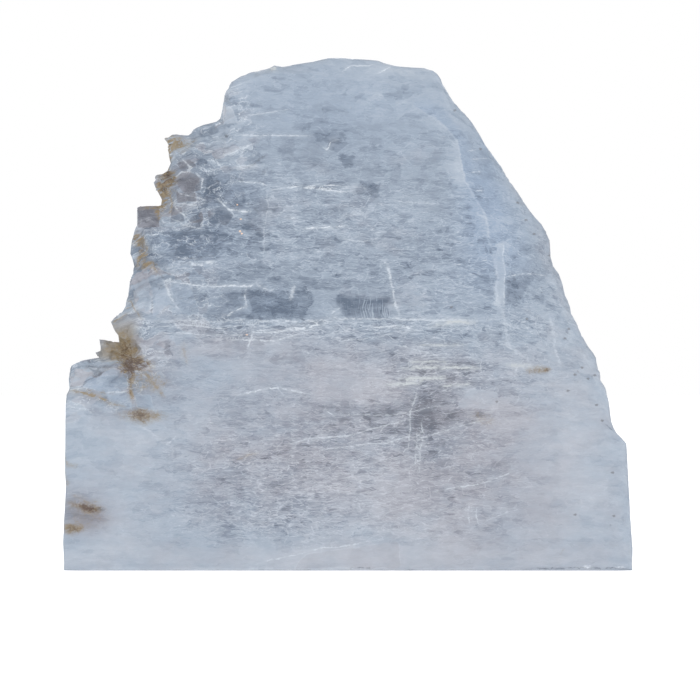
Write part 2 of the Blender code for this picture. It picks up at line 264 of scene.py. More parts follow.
# %% [markdown]
# ## Smooth where it was polished
# The flat triangles of the solid would catch the light one by one. Averaging each point's depth with its
# neighbours' makes them flow together. The lips of the broken sheets and the ragged end keep their edges, so
# the averaging fades out near them. The arris round the slab is softened in the same way, with fewer rounds.

# %% Even out the triangles
LIPS = [
    [(-99, 126.2), (-60, 125.3), (-42, 125.3), (-26, 126), (-12, 124), (0, 125.3), (26, 125.3), (45, 124),
     (57, 124), (66, 127.9), (77, 129.3)],
    [(-42, 189.5), (-31, 190.8), (-24, 192), (-10, 191.4), (-1, 190), (12, 189.5)],
    [(-66, 218.2), (-58, 218.4), (-42, 217.9), (-19, 217.4), (-10, 217)],
    [(-95, 156), (-86, 155.5), (-74, 153.5), (-66, 154.6), (-52, 154.2)],
    [(-93, 145.3), (-82, 144.7), (-72, 142.4), (-52, 142.8), (-44, 142), (-36, 140.4)],
]
BACK_LIPS = [
    [(-88, 171), (-52, 173.5), (-20, 170), (14, 172), (48, 169)],
    [(-104, 82), (-60, 79), (-24, 83), (30, 80.5), (74, 84), (112, 81)],
]
EVENING_ROUNDS, EVENING_STEP = 45, 0.7
ROUNDING_ROUNDS, ROUNDING_STEP = 4, 0.5


def distance_to_path(flat, path):
    """How far each (across, up) lies from a line through the path's points."""
    best = np.full(len(flat), np.inf)
    for start, end in zip(path[:-1], path[1:]):
        start, along = np.array(start, float), np.subtract(end, start).astype(float)
        share = np.clip((flat - start) @ along / (along @ along), 0.0, 1.0)
        best = np.minimum(best, np.linalg.norm(flat - start - share[:, None] * along, axis=1))
    return best


flat = places[:, [0, 2]]
from_lip = np.min([distance_to_path(flat, lip) for lip in LIPS], axis=0)
from_back_lip = np.min([distance_to_path(flat, lip) for lip in BACK_LIPS], axis=0)
from_lip = np.where(front, from_lip, from_back_lip)
polished = ease(3.0, 7.0, from_rim) * ease(1.2, 3.5, from_lip) * ease(7.0, 13.0, from_broken_rim)
for _ in range(EVENING_ROUNDS):
    places[:, 1] += polished * EVENING_STEP * (neighbour_mean(places[:, 1]) - places[:, 1])

rounded = ease(6.0, 2.5, from_rim) * ease(3.0, 9.0, from_broken_rim) * ease(1.5, 4.0, places[:, 2])
for _ in range(ROUNDING_ROUNDS):
    places[:, 1] += rounded * ROUNDING_STEP * (neighbour_mean(places[:, 1]) - places[:, 1])
print("evened", round(float(polished.mean()), 2), "of the points")

# %% [markdown]
# ## Relief of the skin
# A polish on selenite is never flat: the saw and the felt leave long low swells, and the ends of the fibres
# stand as fine ribs that run across the slab. The lips of the sheets are ragged, as torn mica is.

# %% Swells, ribs and ragged lips
SWELLS = [Wave(0.16, (34, 34, 22), 1), Wave(0.07, (11, 11, 5), 2)]
RIBS = [Wave(0.05, (10, 10, 1.9), 3), Wave(0.03, (5, 5, 1.3), 4)]
TEARS = [Wave(0.9, (7, 7, 20), 6), Wave(0.5, (2.6, 2.6, 9), 7)]
outward = np.where(front, -1.0, 1.0) * ease(0.3, 0.7, face_on)
inside_base = ease(0.2, 2.5, places[:, 2])
calm = ease(-0.1, 0.5, waves(places, (30, 30, 24), 5))
places[:, 1] += outward * inside_base * (heights(places, SWELLS) + heights(places, RIBS) * (1.15 - calm))

near_lip = ease(4.0, 0.5, from_lip) * ease(0.5, 0.9, face_on) * ease(2.0, 8.0, from_rim)
places[:, 2] += near_lip * heights(places, TEARS)

# %% [markdown]
# ## Steps in the edge
# The edge of the slab cuts across the sheets. Noise that is long across the slab and short through its depth
# gives bands that run parallel to the faces, and rounding it turns the bands into steps.

# %% Sheets in the worn edge
SHEETS = [Wave(1.0, (26, 2.4, 26), 8), Wave(0.6, (9, 1.1, 9), 9)]
SHEET_LEVELS = 2.0
SHEET_STEP, LEAST_STEP = 0.55, 0.1
stepped = np.round(heights(places, SHEETS) * SHEET_LEVELS) / SHEET_LEVELS
inner_wall = ease(16.0, 11.5, np.abs(places[:, 1]))
inward = -normals * (on_wall * inside_base * inner_wall)[:, None]
inward[:, 2] *= ease(0.5, 3.0, places[:, 2])
places += inward * (SHEET_STEP * ease(-0.9, 0.9, stepped) + LEAST_STEP)[:, None]

# %% [markdown]
# ## The ragged end
# At the left nothing was polished: the crystal broke off in blocks and shell-shaped chips, and the blades
# of a smaller crystal fan out from a stained hollow. Noise that is rounded to steps gives the blocks, ridged
# noise the chips, and waves that turn round the root of the blades give the fan.

# %% Blocks, chips and blades
BLADE_ROOT = np.array([-108.0, 106.0])
BLADES = 11.0
BLOCKS = [Wave(1.0, (9, 9, 6.5), 10), Wave(0.5, (3.6, 3.6, 2.8), 11)]
BLOCK_LEVELS = 2.2
BLOCK_HEIGHT, CHIP_HEIGHT, BLADE_HEIGHT, BLADE_SINK = 1.1, 0.7, 1.1, 0.6
JAGS = [Wave(0.35, (3.2, 3.2, 3.2), 14)]
KEPT_AT_THE_LEFT = 2
CLEARANCE = 0.02
CREASE_ANGLE = 58
broken = ease(15.0, 4.0, from_broken_rim) * ease(88.0, 98.0, places[:, 2]) * ease(0.3, 0.8, face_on)
blocks = np.round(heights(places, BLOCKS) * BLOCK_LEVELS) / BLOCK_LEVELS
chips = 1.0 - np.abs(waves(places, (6, 6, 5), 12))
fan = places[:, [0, 2]] - BLADE_ROOT
turn = np.arctan2(fan[:, 1], -fan[:, 0])
in_fan = ease(20.0, 12.0, np.hypot(*fan.T)) * ease(-2.0, 2.0, fan[:, 1]) * ease(4.0, -2.0, fan[:, 0])
blades = np.abs(np.sin(turn * BLADES + 1.2 * waves(places, (5, 5, 5), 13)))
rough = BLOCK_HEIGHT * blocks + CHIP_HEIGHT * (chips - 1)
bladed = BLADE_HEIGHT * blades - BLADE_SINK
places[:, 1] += outward * inside_base * broken * (rough * (1 - in_fan) + in_fan * bladed)
places[:, 0] += broken * heights(places, JAGS) * (places[:, 0] > LOWEST[0] + KEPT_AT_THE_LEFT)

places = np.clip(places, LOWEST + CLEARANCE, HIGHEST - CLEARANCE)
places[foot, 2] = np.where(normals[foot, 2] < -0.5, 0.0, places[foot, 2])
stone_mesh.vertices.foreach_set("co", (places * MM).ravel())
stone_mesh.update()
stone_mesh.set_sharp_from_angle(angle=math.radians(CREASE_ANGLE))
print("the skin measures", (places.max(0) - places.min(0)).round(1), "mm")

# %% [markdown]
# ## Where things lie on the stone
# Milk, clear windows, stains and veins have their places, and a procedural texture knows nothing of places.
# Painting an image would fix them, but images are out of bounds here and would blur up close. So each kind
# is a short list of places in millimetres, worked out at every point of the mesh and handed to the material
# as an attribute. Edges are handed over as distances: those stay sharp between the points of the mesh. The
# back gets the same lists turned upside down, so that the two sides differ.

# %% The stone turned over for its back
TURNED_HEIGHT = 222.0
NARROWED, SHIFTED = 0.94, 6.0
WANDER_ACROSS = [Wave(2.8, (16, 60, 12), 20), Wave(1.2, (5, 60, 4), 21)]
WANDER_UP = [Wave(1.6, (18, 60, 14), 22), Wave(0.8, (4.5, 60, 4), 23)]
WANDER_ON_THE_WALL = [Wave(5.0, (24, 7, 24), 24)]
LINE_WANDER = 0.35
skin = places.copy()
skin[~front, 2] = TURNED_HEIGHT - skin[~front, 2]
skin[~front, 0] = NARROWED * skin[~front, 0] + SHIFTED
wander = np.column_stack([heights(skin, WANDER_ACROSS), heights(skin, WANDER_UP)])
wander[:, 1] += on_wall * heights(skin, WANDER_ON_THE_WALL)
here = skin[:, [0, 2]] + LINE_WANDER * wander
edge_here = skin[:, [0, 2]] + wander


def hand_over(name, *parts):
    """Stores one to three numbers at every point of the mesh, for the material to read."""
    if len(parts) == 1:
        kind, key, values = "FLOAT", "value", parts[0]
    else:
        padded = [*parts, np.zeros(count)][:3]
        kind, key, values = "FLOAT_VECTOR", "vector", np.column_stack(padded)
    attribute = stone_mesh.attributes.new(name, kind, "POINT")
    attribute.data.foreach_set(key, np.asarray(values, np.float32).ravel())


# %% [markdown]
# ## Clouds
# Milk lies in the stone like cloud, thick in some places and thin in others. Soft round hills, added up, give
# how pale it is, how warm, and how much silk there is. One noise could do it, but then the pale corners and
# the dark middle of this slab would land elsewhere. One thin row of tone along the bottom edge is painted
# light: it lifts the shade on the rounded arris.

# %% Soft clouds of tone and warmth
# Each row: the middle across and up, half the width and half the height, and how much it adds.
TONE = [
    (-82, 162, 20, 18, -0.5), (-70, 188, 18, 13, -0.6), (-52, 176, 22, 22, -0.28),
    (-78, 206, 16, 12, -0.45), (-30, 140, 40, 12, -0.3), (8, 150, 60, 16, -0.2), (-8, 182, 60, 18, -0.12),
    (-46, 232, 20, 16, 0.04), (10, 236, 30, 14, 0.12), (66, 200, 14, 30, -0.12), (86, 158, 26, 26, -0.22),
    (-35, 106, 50, 12, 0.22), (10, 92, 30, 12, 0.35), (38, 78, 20, 18, -0.5), (39, 77, 8, 12, -0.6),
    (0, 76, 30, 10, -0.25), (-40, 52, 60, 22, -0.1), (60, 36, 34, 22, -0.22), (-110, 60, 40, 40, 0.3),
    (-122, 20, 30, 20, 0.35), (112, 66, 26, 40, 0.32), (96, 100, 26, 16, 0.1), (122, 24, 24, 20, 0.2),
    (-10, 8, 60, 8, 0.2), (-14, 217, 30, 12, -0.22), (-64, 118, 26, 10, -0.3), (-104, 92, 32, 14, -0.3),
    (-50, 92, 30, 12, -0.12), (-133, 28, 13, 11, -1.05), (12, 40, 28, 16, 0.48), (10, 16, 70, 12, 0.28),
    (0, 208, 60, 16, -0.26), (-10, 236, 50, 14, -0.14), (-5, 100, 60, 14, -0.22), (-100, 40, 34, 30, -0.14),
    (0, 4, 150, 7, 0.35), (62, 30, 40, 24, 0.15), (30, 250, 26, 5, 0.4), (54, 205, 7, 22, 0.25),
    # The row (-40, 0, 90, 1, 0.8) is painted light: a thin lighter strip along the bottom edge at the left
    # that lifts the shade on the rounded arris there.
    (66, 188, 8, 20, -0.12), (-50, 130, 40, 6, -0.18), (-40, 0, 90, 1, 0.8), (-100, 178, 9, 8, -0.25),
    (-104, 150, 9, 18, -0.8), (-110, 102, 18, 14, -0.52), (-112, 84, 17, 9, -0.48), (-90, 66, 22, 20, 0.14),
    (74, 175, 7, 7, 0.45), (78, 165, 7, 6, 0.4), (-86, 196, 14, 14, -0.15), (-40, 24, 40, 10, -0.12),
    (99, 166, 9, 18, -0.12),
]
WARMTH = [
    (-30, 56, 66, 32, 0.75), (62, 40, 44, 40, 0.75), (30, 90, 50, 18, 0.45), (-60, 112, 40, 8, 0.5),
    (0, 108, 60, 10, 0.3), (68, 76, 22, 10, 0.55), (106, 60, 30, 60, 0.35), (-102, 155, 9, 12, 0.5),
    (-106, 102, 14, 14, 0.6), (-130, 27, 14, 12, 1), (-100, 178, 10, 8, 0.5), (68, 184, 13, 30, -1),
    (80, 160, 16, 22, -0.6), (86, 196, 9, 22, 0.45), (100, 164, 9, 20, 0.45), (66, 150, 30, 30, -0.2),
    (-5, 232, 60, 22, -0.35), (-78, 163, 22, 10, -0.7), (-62, 190, 14, 10, -0.6), (-40, 132, 22, 8, -0.5),
    (0, 94, 60, 14, 0.35), (14, 36, 40, 20, 0.35), (0, 5, 150, 8, 0.4), (-84, 198, 14, 12, 0.5),
    (-70, 200, 20, 16, 0.15),
]
FIBRE = [
    (-10, 170, 62, 38, 0.75), (-70, 165, 26, 40, 0.6), (-30, 48, 60, 32, 1.05), (-36, 24, 44, 10, 0.35),
    (38, 76, 12, 14, 0.4), (40, 74, 50, 30, 0.6), (30, 106, 60, 14, 0.7), (-20, 121, 90, 5, 1.1),
    (48, 97, 20, 7, 0.7), (-20, 208, 50, 14, -0.15), (60, 152, 34, 32, 0.5), (92, 124, 20, 26, 0.35),
    (62, 32, 36, 26, 0.4), (-124, 46, 34, 46, -0.35), (110, 44, 26, 44, -0.35), (0, 3, 150, 9, -0.8),
    (0, 244, 60, 16, -0.05),
]


def gathered(clouds):
    """The sum of soft clouds at every point."""
    total = np.zeros(count)
    for across, up, half_width, half_height, amount in clouds:
        off = ((here[:, 0] - across) / half_width)**2 + ((here[:, 1] - up) / half_height)**2
        total += amount * np.exp(-off)
    return total


hand_over("tone", gathered(TONE))
hand_over("warmth", gathered(WARMTH))
hand_over("fibre", gathered(FIBRE))

# %% [markdown]
# ## Windows, islands and facets
# Where no sheet has lifted the stone is clear, and one looks down into the dark of it: a window. Cleavage
# bounds the windows and the milky islands with straight edges along and up the slab, a little frayed, so
# each is given as a box. The facets of the broken end lie at other angles and are given by their corners.
# What is stored is how deep inside the nearest box or facet a point lies.

# %% Boxes with frayed edges
# Each row: left, right, bottom and top edge, and how strong it is.
WINDOWS = [
    (-53, -20, 126, 140, 0.85), (-49, -43, 125.5, 131, 0.45), (-90, -63, 156, 170, 0.5),
    (-72, -64, 171, 180, 0.4), (-72, -52, 184, 198, 0.4), (-70, -44, 126, 139, 0.3),
    (-50, -41, 155, 190, 0.42), (-23, -4, 190.5, 194, 0.6), (2, 16, 187, 194, 0.7),
    (-17, -3, 214, 219.5, 0.55), (-34, -27, 207, 217, 0.4), (-57.5, -55, 213.5, 217.5, 0.5),
    (-25.5, -19, 220.5, 224, 0.45), (-2.5, 0.5, 238, 242, 0.6), (-2, 4, 201, 208, 0.6),
    (25.5, 30.5, 239.5, 243.5, 0.45), (50, 56, 191, 195, 0.55), (20, 26, 196, 205, 0.4),
    (33, 37, 189, 196, 0.4), (64.5, 76.5, 113, 118, 0.55), (78, 90, 133, 146, 0.55),
    (-91, -86.5, 108, 115, 0.75), (-98.5, -96, 117.5, 119.5, 0.6), (-108, -104, 155, 161.5, 0.75),
    (-9, 26, 75, 82, 0.45), (32, 64, 98, 105, 0.4), (-38, -22.5, 103.5, 109.5, 0.5),
    (-29.5, -16, 110, 113, 0.5), (-64, -49, 110, 118, 0.4), (2, 22, 105.5, 110, 0.4),
    (-47, -42, 86.5, 89, 0.5),
]
STREAKED = (-4.5, 21, 125.4, 136, 0.95)
ISLANDS = [
    (-60, -22, 92, 108, 0.6), (-19, 19, 85, 108, 0.8), (-66, -49, 92, 108, 0.5),
    (-98, -93, 126.5, 149.5, 0.6), (-108, -94, 126, 150, 0.8), (-108, -90, 106, 116, 0.8),
    (54, 75, 80, 90, 0.8), (-61.5, -56, 223, 233.5, 0.7), (80, 93, 149, 155, 0.8),
    (73.5, 78.5, 132.5, 165, 0.9), (100, 106, 102, 129, 0.35), (-28, 38, 1, 12, 0.6), (-50, -28, 1, 6, 0.6),
    (24, 46, 170, 184, 0.3), (-24, 10, 196, 203, 0.25), (62, 74, 168, 186, 0.6), (104, 124, 40, 86, 0.35),
]


def inside_boxes(patches):
    """At every point, how far inside the nearest box it lies, negative outside, and that box's strength."""
    best, strength = np.full(count, -99.0), np.zeros(count)
    for left, right, bottom, top, patch_strength in patches:
        across = np.maximum(left - edge_here[:, 0], edge_here[:, 0] - right)
        up = np.maximum(bottom - edge_here[:, 1], edge_here[:, 1] - top)
        outside = np.hypot(np.clip(across, 0, None), np.clip(up, 0, None))
        inside = np.where(outside > 0, -outside, -np.maximum(across, up))
        nearer = inside > best
        best = np.where(nearer, inside, best)
        strength = np.where(nearer, patch_strength, strength)
    return best, strength


window, window_strength = inside_boxes(WINDOWS)
streaked, _ = inside_boxes([STREAKED])
island, island_strength = inside_boxes(ISLANDS)
hand_over("window", window, window_strength, streaked)
hand_over("island", island, island_strength)
print(len(WINDOWS) + 1, "windows and", len(ISLANDS), "islands")

# %% [markdown]
# ## Facets
# A facet is a flat break, with straight sides and one tone of its own. A point lies inside one when it is on
# the inner side of all its sides, and the least of those distances says how deep.

# %% Facets of the broken end
# Each row: the corners of a flat face, and what it adds to tone and to warmth.
FACETS = [
    ([(-106, 183), (-94, 183), (-94, 172), (-106, 172)], -0.6, 0.9),
    ([(-89, 196), (-82, 200), (-75, 197), (-74, 190), (-81, 188)], -0.25, 0.9),
    ([(-88, 196), (-84, 199), (-81, 196), (-84, 194)], -0.75, 0.9),
    ([(-82, 194), (-76, 194), (-76, 189), (-80, 189)], -0.7, 0.9),
    ([(-86, 189), (-76, 188), (-76, 184), (-84, 184)], -0.45, 0.7),
    ([(-82, 174), (-74, 180), (-72, 175), (-76, 174)], -0.65, 0.6),
    ([(-71, 180), (-63, 183), (-57, 178), (-61, 173), (-69, 174)], -0.35, 0.35),
    ([(-88, 182), (-83, 182), (-82, 175), (-88, 174)], -0.45, 0.6),
    ([(-86, 204), (-80, 206), (-76, 202), (-84, 200)], -0.4, 0.5),
    ([(-72, 221), (-67, 224), (-64, 220), (-69, 218)], -0.35, 0.1),
    ([(-92, 217), (-82, 219), (-78, 214), (-88, 208)], 0.3, 0.1),
    ([(-62, 234), (-56, 230), (-55, 224), (-62, 223)], 0.5, 0.5),
    ([(-99, 144), (-92, 146), (-89, 134), (-97, 127)], 0.2, -0.3),
    ([(-88, 144), (-80, 144), (-74, 128), (-88, 128)], 0.05, -0.2),
    ([(-108, 149), (-99, 150), (-99, 128), (-108, 132)], 0.4, 0.3),
    ([(-134, 92), (-128, 98), (-118, 102), (-110, 98), (-110, 91), (-121, 89)], 0.3, -0.5),
    ([(-134, 92), (-128, 98), (-120, 102), (-123, 97), (-130, 92)], -0.4, 0.8),
    ([(-121, 88), (-112, 90), (-108, 88), (-109, 80), (-116, 82)], 0.4, -0.5),
    ([(-106, 88), (-98, 88), (-97, 80), (-106, 81)], 0.1, -0.3),
    ([(-140, 92), (-134, 92), (-127, 100), (-132, 102), (-140, 98)], 0.35, 0.3),
    ([(54, 82), (62, 91), (75, 89), (75, 81), (58, 80)], 0.24, -0.15),
    ([(74, 165), (78, 164), (78, 133), (74, 134)], 0.35, 0.1),
    ([(-11, 211), (-8, 216), (0, 214), (-5, 209)], -0.3, 0),
    ([(-21, 9), (26, 14), (26, 1), (-27, 1)], -0.15, 0.2),
]


def inside_facets(facets):
    """At every point, how far inside the nearest facet it lies, and that facet's tone and warmth."""
    best, tone, warmth = np.full(count, -99.0), np.zeros(count), np.zeros(count)
    for corners, facet_tone, facet_warmth in facets:
        corners = np.array(corners, float)
        following = np.roll(corners, -1, axis=0)
        turning = np.sign((corners[:, 0] * following[:, 1] - following[:, 0] * corners[:, 1]).sum())
        inside = np.full(count, 99.0)
        for start, along in zip(corners, following - corners):
            offset = here - start
            across = along[0] * offset[:, 1] - along[1] * offset[:, 0]
            inside = np.minimum(inside, turning * across / np.hypot(*along))
        nearer = inside > best
        best = np.where(nearer, inside, best)
        tone = np.where(nearer, facet_tone, tone)
        warmth = np.where(nearer, facet_warmth, warmth)
    return best, tone, warmth


hand_over("facet", *inside_facets(FACETS))
print(len(FACETS), "facets")

# %% [markdown]
# ## Veins
# A vein is a crack that caught air: a bright hairline, mostly along the slab. Half a millimetre is thinner
# than the mesh is fine. But the distance to a line, with its sign, changes evenly from point to point, so
# the material can draw the line where that distance passes zero. The plain distance goes along with it,
# because the sign also flips half-way between two veins, where nothing should show. Veins that come close to
# each other are kept in separate sets: white ones along and across the slab, cream bands, dark cracks, lines
# of rust, and the ridge where the polished face ends. Some of the white lines along the slab are partly
# painted highlights: they lie on the lips of the lifted sheets, where a ledge that faces up catches the
# light.

# %% The veins, set by set
# Each row: the points of the vein, its full width, and how strong it is.
# The white lines on the lips of the sheets, near 125, 142, 155, 190 and 217 mm up, and the short one near 172
# mm up, are partly painted highlights, where a ledge catches the light.
ALONG_VEINS_AND_LIP_HIGHLIGHTS = [
    ([(-99, 125), (-26, 125), (-4, 126), (46, 125), (77, 125)], 1.1, 0.6),
    ([(-99, 122), (-75, 123), (-62, 121), (-46, 123), (-38, 121)], 0.8, 0.6),
    ([(-98, 119), (-64, 118), (-49, 117)], 0.8, 0.55), ([(-29, 122), (-24, 121), (-8, 125)], 0.8, 1),
    ([(-5, 115), (16, 117), (24, 119)], 0.7, 0.5), ([(-21, 109), (-15, 107)], 0.7, 0.7),
    ([(-56, 88), (-40, 91), (-28, 90), (-19, 88)], 0.8, 0.8), ([(-58, 218), (-18, 217)], 0.8, 0.6),
    ([(-52, 228), (-29, 230)], 0.7, 0.5), ([(-2, 250), (2, 252), (12, 253)], 0.9, 0.8),
    ([(15.5, 249), (20.5, 251.5)], 0.9, 0.8), ([(-38, 190), (-25, 192), (1, 189)], 0.9, 0.9),
    ([(-58, 195), (-45, 194), (-41, 192)], 0.9, 0.7), ([(-55.5, 200.5), (-50.5, 202)], 0.8, 0.7),
    ([(-65, 185), (-60, 181), (-49, 180)], 1.1, 0.95), ([(-30, 176), (-25, 177)], 1, 0.9),
    ([(-23, 171), (0, 172)], 1, 1), ([(24, 185), (46, 183)], 0.7, 0.5),
    ([(-3, 166), (8, 164), (14, 166)], 0.7, 0.5), ([(-86, 155), (-74, 153), (-66, 154)], 2.2, 0.75),
    ([(-92, 145), (-72, 142), (-49, 142), (-46, 144), (-44, 142), (-38, 140), (-36, 142)], 0.9, 0.85),
    ([(-64, 127), (-51, 132)], 0.9, 0.8), ([(-8.5, 129), (-4, 131)], 0.9, 0.9),
    ([(78, 147), (87, 148), (99, 147)], 0.7, 0.6), ([(60.5, 210), (63.5, 210.5)], 0.7, 0.6),
    ([(62.5, 206), (69, 206.5)], 0.7, 0.6), ([(62, 199), (67, 199.5)], 0.7, 0.6),
    ([(63.5, 190), (67, 190.5)], 0.7, 0.6), ([(-6, 78), (22, 77), (50, 83)], 0.6, 0.5),
    ([(-13, 60), (20, 64), (30, 67), (36, 66)], 0.7, 0.6), ([(36, 66), (68, 75)], 0.7, 0.55),
    ([(43, 39), (74, 46), (85, 50)], 0.7, 0.6), ([(68, 25), (88, 32)], 0.6, 0.5),
    ([(-46, 3), (-14, 12), (-5, 12), (16, 15)], 0.8, 0.6), ([(-86, 189), (-72, 185)], 0.8, 0.6),
    ([(118.5, 1.5), (122, 1.5)], 1.6, 1.2), ([(134.5, 1.5), (138, 1.5)], 1.2, 1.1),
    ([(-60, 115), (-36, 115), (-26, 118)], 0.8, 0.7), ([(-52, 119), (-40, 119), (-18, 121)], 0.8, 0.8),
    ([(24, 113), (46, 107)], 0.8, 0.6), ([(10, 121), (24, 122), (36, 120)], 0.8, 0.8),
    ([(-101, 105), (-96, 107), (-91, 106)], 2.4, 0.5), ([(-99, 102), (-92, 103), (-86, 102)], 1.8, 0.5),
    ([(-121, 89), (-110, 90)], 1, 0.6), ([(-95, 66), (-89, 64), (-86, 67)], 1, 0.6),
    ([(-64, 207), (-47, 213)], 0.9, 0.8), ([(-60, 201), (-52, 203), (-43, 202)], 0.7, 0.7),
    ([(-24, 192), (-14, 193), (8, 191)], 0.8, 0.8), ([(-31, 63), (-18, 66), (-2, 67), (34, 76)], 0.8, 0.6),
]
ACROSS = [
    ([(70, 167), (73, 160), (74, 148), (74, 134), (78, 128), (80, 112), (96, 102)], 2, 0.25),
    ([(30, 60), (33, 89)], 1, 0.55), ([(35, 70), (34, 51)], 1, 0.5), ([(61, 33), (61, 24)], 0.8, 0.6),
    ([(64, 32), (65, 23)], 0.8, 0.6), ([(-91, 144), (-89, 136), (-84, 129)], 1.1, 0.55),
    ([(-88, 196), (-84, 200), (-75, 198)], 0.9, 0.7), ([(-83, 206), (-79, 202), (-81, 199)], 1, 0.7),
    ([(-77, 199), (-73, 195), (-74, 190)], 0.9, 0.7), ([(-86, 182), (-79, 174)], 0.9, 0.7),
    ([(-87, 176), (-80, 172), (-72, 171)], 0.9, 0.6), ([(78, 165), (78, 132)], 0.8, 0.5),
    ([(100, 129), (106, 102)], 1.6, 0.4), ([(17, 156), (20, 153), (22, 141), (26, 127)], 1.4, 0.65),
    ([(-51, 132), (-51, 141)], 1, 0.6), ([(-27, 142.5), (-29.5, 136)], 2.2, 0.6),
    ([(-40, 189), (-42, 155)], 0.7, 0.3), ([(-12, 211), (-10, 210), (-8, 215), (-4, 216)], 0.8, 0.8),
    ([(-10.5, 80), (-6, 77)], 0.7, 0.8), ([(38, 75), (36, 49)], 0.8, 0.55),
    ([(-48, 119), (-49.5, 111)], 1, 0.6), ([(-86, 184), (-76, 182)], 0.8, 0.6),
    ([(-106, 73), (-99, 70), (-86, 61)], 1.2, 0.3),
]
CREAM = [
    ([(40, 122), (52, 124), (64, 124)], 1.5, 1), ([(18, 93), (36, 94)], 1.5, 1),
    ([(26, 96), (50, 96)], 1.6, 1), ([(28, 101), (66, 101)], 1.5, 1), ([(30, 104), (50, 104)], 1.1, 0.8),
    ([(46, 92), (62, 93)], 1.1, 0.8), ([(34, 113), (58, 113)], 1.1, 0.7),
    ([(80, 103), (92, 103)], 2.6, 0.7), ([(-39, 251.5), (-36, 251)], 2.2, 1.3),
]
RUST = [
    ([(-140, 90), (-124, 87), (-119, 84), (-112, 82)], 1.4, 0.95), ([(-108, 96), (-108, 84)], 1.7, 0.9),
    ([(-103, 101), (-92, 87)], 1.8, 0.8), ([(-116, 116), (-113, 107), (-107, 97)], 2.6, 0.9),
    ([(-113, 135), (-110, 135), (-104, 126)], 0.9, 0.7), ([(-118, 124), (-110, 129)], 1, 0.7),
    ([(-92, 216), (-89, 203)], 1.2, 0.7), ([(-86, 214), (-80, 213), (-76, 217)], 1.2, 0.6),
    ([(-96, 197), (-93, 203), (-87, 206)], 1.2, 0.6), ([(-90, 190), (-87, 184), (-89, 178)], 1.2, 0.7),
    ([(-106, 183), (-96, 183), (-92, 180)], 1, 0.7), ([(-104, 167), (-101, 162), (-103, 158)], 1.3, 0.8),
    ([(-103, 154), (-98, 153), (-94, 149)], 1.3, 0.8), ([(-138, 38), (-130, 34), (-124, 35)], 1.2, 0.6),
    ([(-82, 114), (-81, 104)], 1.4, 0.45), ([(-55, 56), (-50, 58), (-46, 59)], 1, 0.5),
]
RIDGE = [
    ([(38, 230), (43, 227), (49, 221), (53.5, 216), (55, 210), (57.5, 199), (58, 195.5), (63.5, 187),
      (70.5, 176.5), (70.5, 167), (70.5, 160)], 2, 1),
]
DARK = [
    ([(6, 108), (22, 110)], 0.6, 0.8), ([(-27, 123), (-12, 125)], 0.8, 0.7),
    ([(-98, 128), (-98, 136), (-93, 143)], 1, 0.6), ([(-134, 92), (-121, 101)], 1.2, 0.8),
    ([(129.5, 73), (133.5, 70)], 0.6, 0.9), ([(-88, 157), (-78, 156), (-66, 157)], 1.2, 0.6),
    ([(35, 88), (34, 70)], 0.9, 0.5), ([(-134, 32), (-122, 31)], 1.8, 1.5),
    ([(-26.5, 0.5), (-19, 0.5)], 0.9, 0.8), ([(2, 1), (12, 1)], 0.9, 0.8),
    ([(27.5, 0.5), (32, 0.5)], 0.9, 0.8), ([(86, 1), (141, 1)], 0.9, 0.9),
    ([(-51, 184.5), (-44, 179)], 1.2, 0.6), ([(-49, 202), (-40, 208)], 1.6, 0.7),
    ([(-45, 196), (-40, 202)], 1.8, 0.6), ([(-32, 193), (-8, 191)], 1.4, 0.7),
]
VEIN_END, LEAST_AT_THE_END = 0.16, 0.35


def faded(done):
    """The strength along a vein, less at both its ends."""
    middle = ease(0.0, VEIN_END, done) * ease(1.0, 1.0 - VEIN_END, done)
    return LEAST_AT_THE_END + (1 - LEAST_AT_THE_END) * middle


def nearest_vein(veins):
    """At every point: signed distance to the nearest vein in half widths, plain distance, and strength."""
    best, across, strength = np.full(count, 99.0), np.zeros(count), np.zeros(count)
    for path, width, vein_strength in veins:
        path = np.array(path, float)
        steps = np.diff(path, axis=0)
        lengths = np.hypot(*steps.T)
        run = 0.0
        for start, along, length in zip(path, steps, lengths):
            share = np.clip((here - start) @ along / length**2, 0.0, 1.0)
            offset = here - start - share[:, None] * along
            distance = np.hypot(*offset.T)
            side = np.sign(along[0] * offset[:, 1] - along[1] * offset[:, 0])
            done = (run + share * length) / lengths.sum()
            nearer = distance < best
            best = np.where(nearer, distance, best)
            across = np.where(nearer, side * distance / (width / 2), across)
            strength = np.where(nearer, vein_strength * faded(done), strength)
            run += length
    return across, best, strength


for name, veins in (("along", ALONG_VEINS_AND_LIP_HIGHLIGHTS), ("across", ACROSS), ("cream", CREAM), ("dark", DARK), ("rust", RUST),
                    ("ridge", RIDGE)):
    hand_over(name, *nearest_vein(veins))
    print(len(veins), name, "veins")

# %% [markdown]
# ## Stains
# Iron-rich water crept in at the ragged end and left ochre, thickest in the hollow behind the blades. A stain
# is a soft hill like the clouds. It is stored with a second number that says how brown it is.

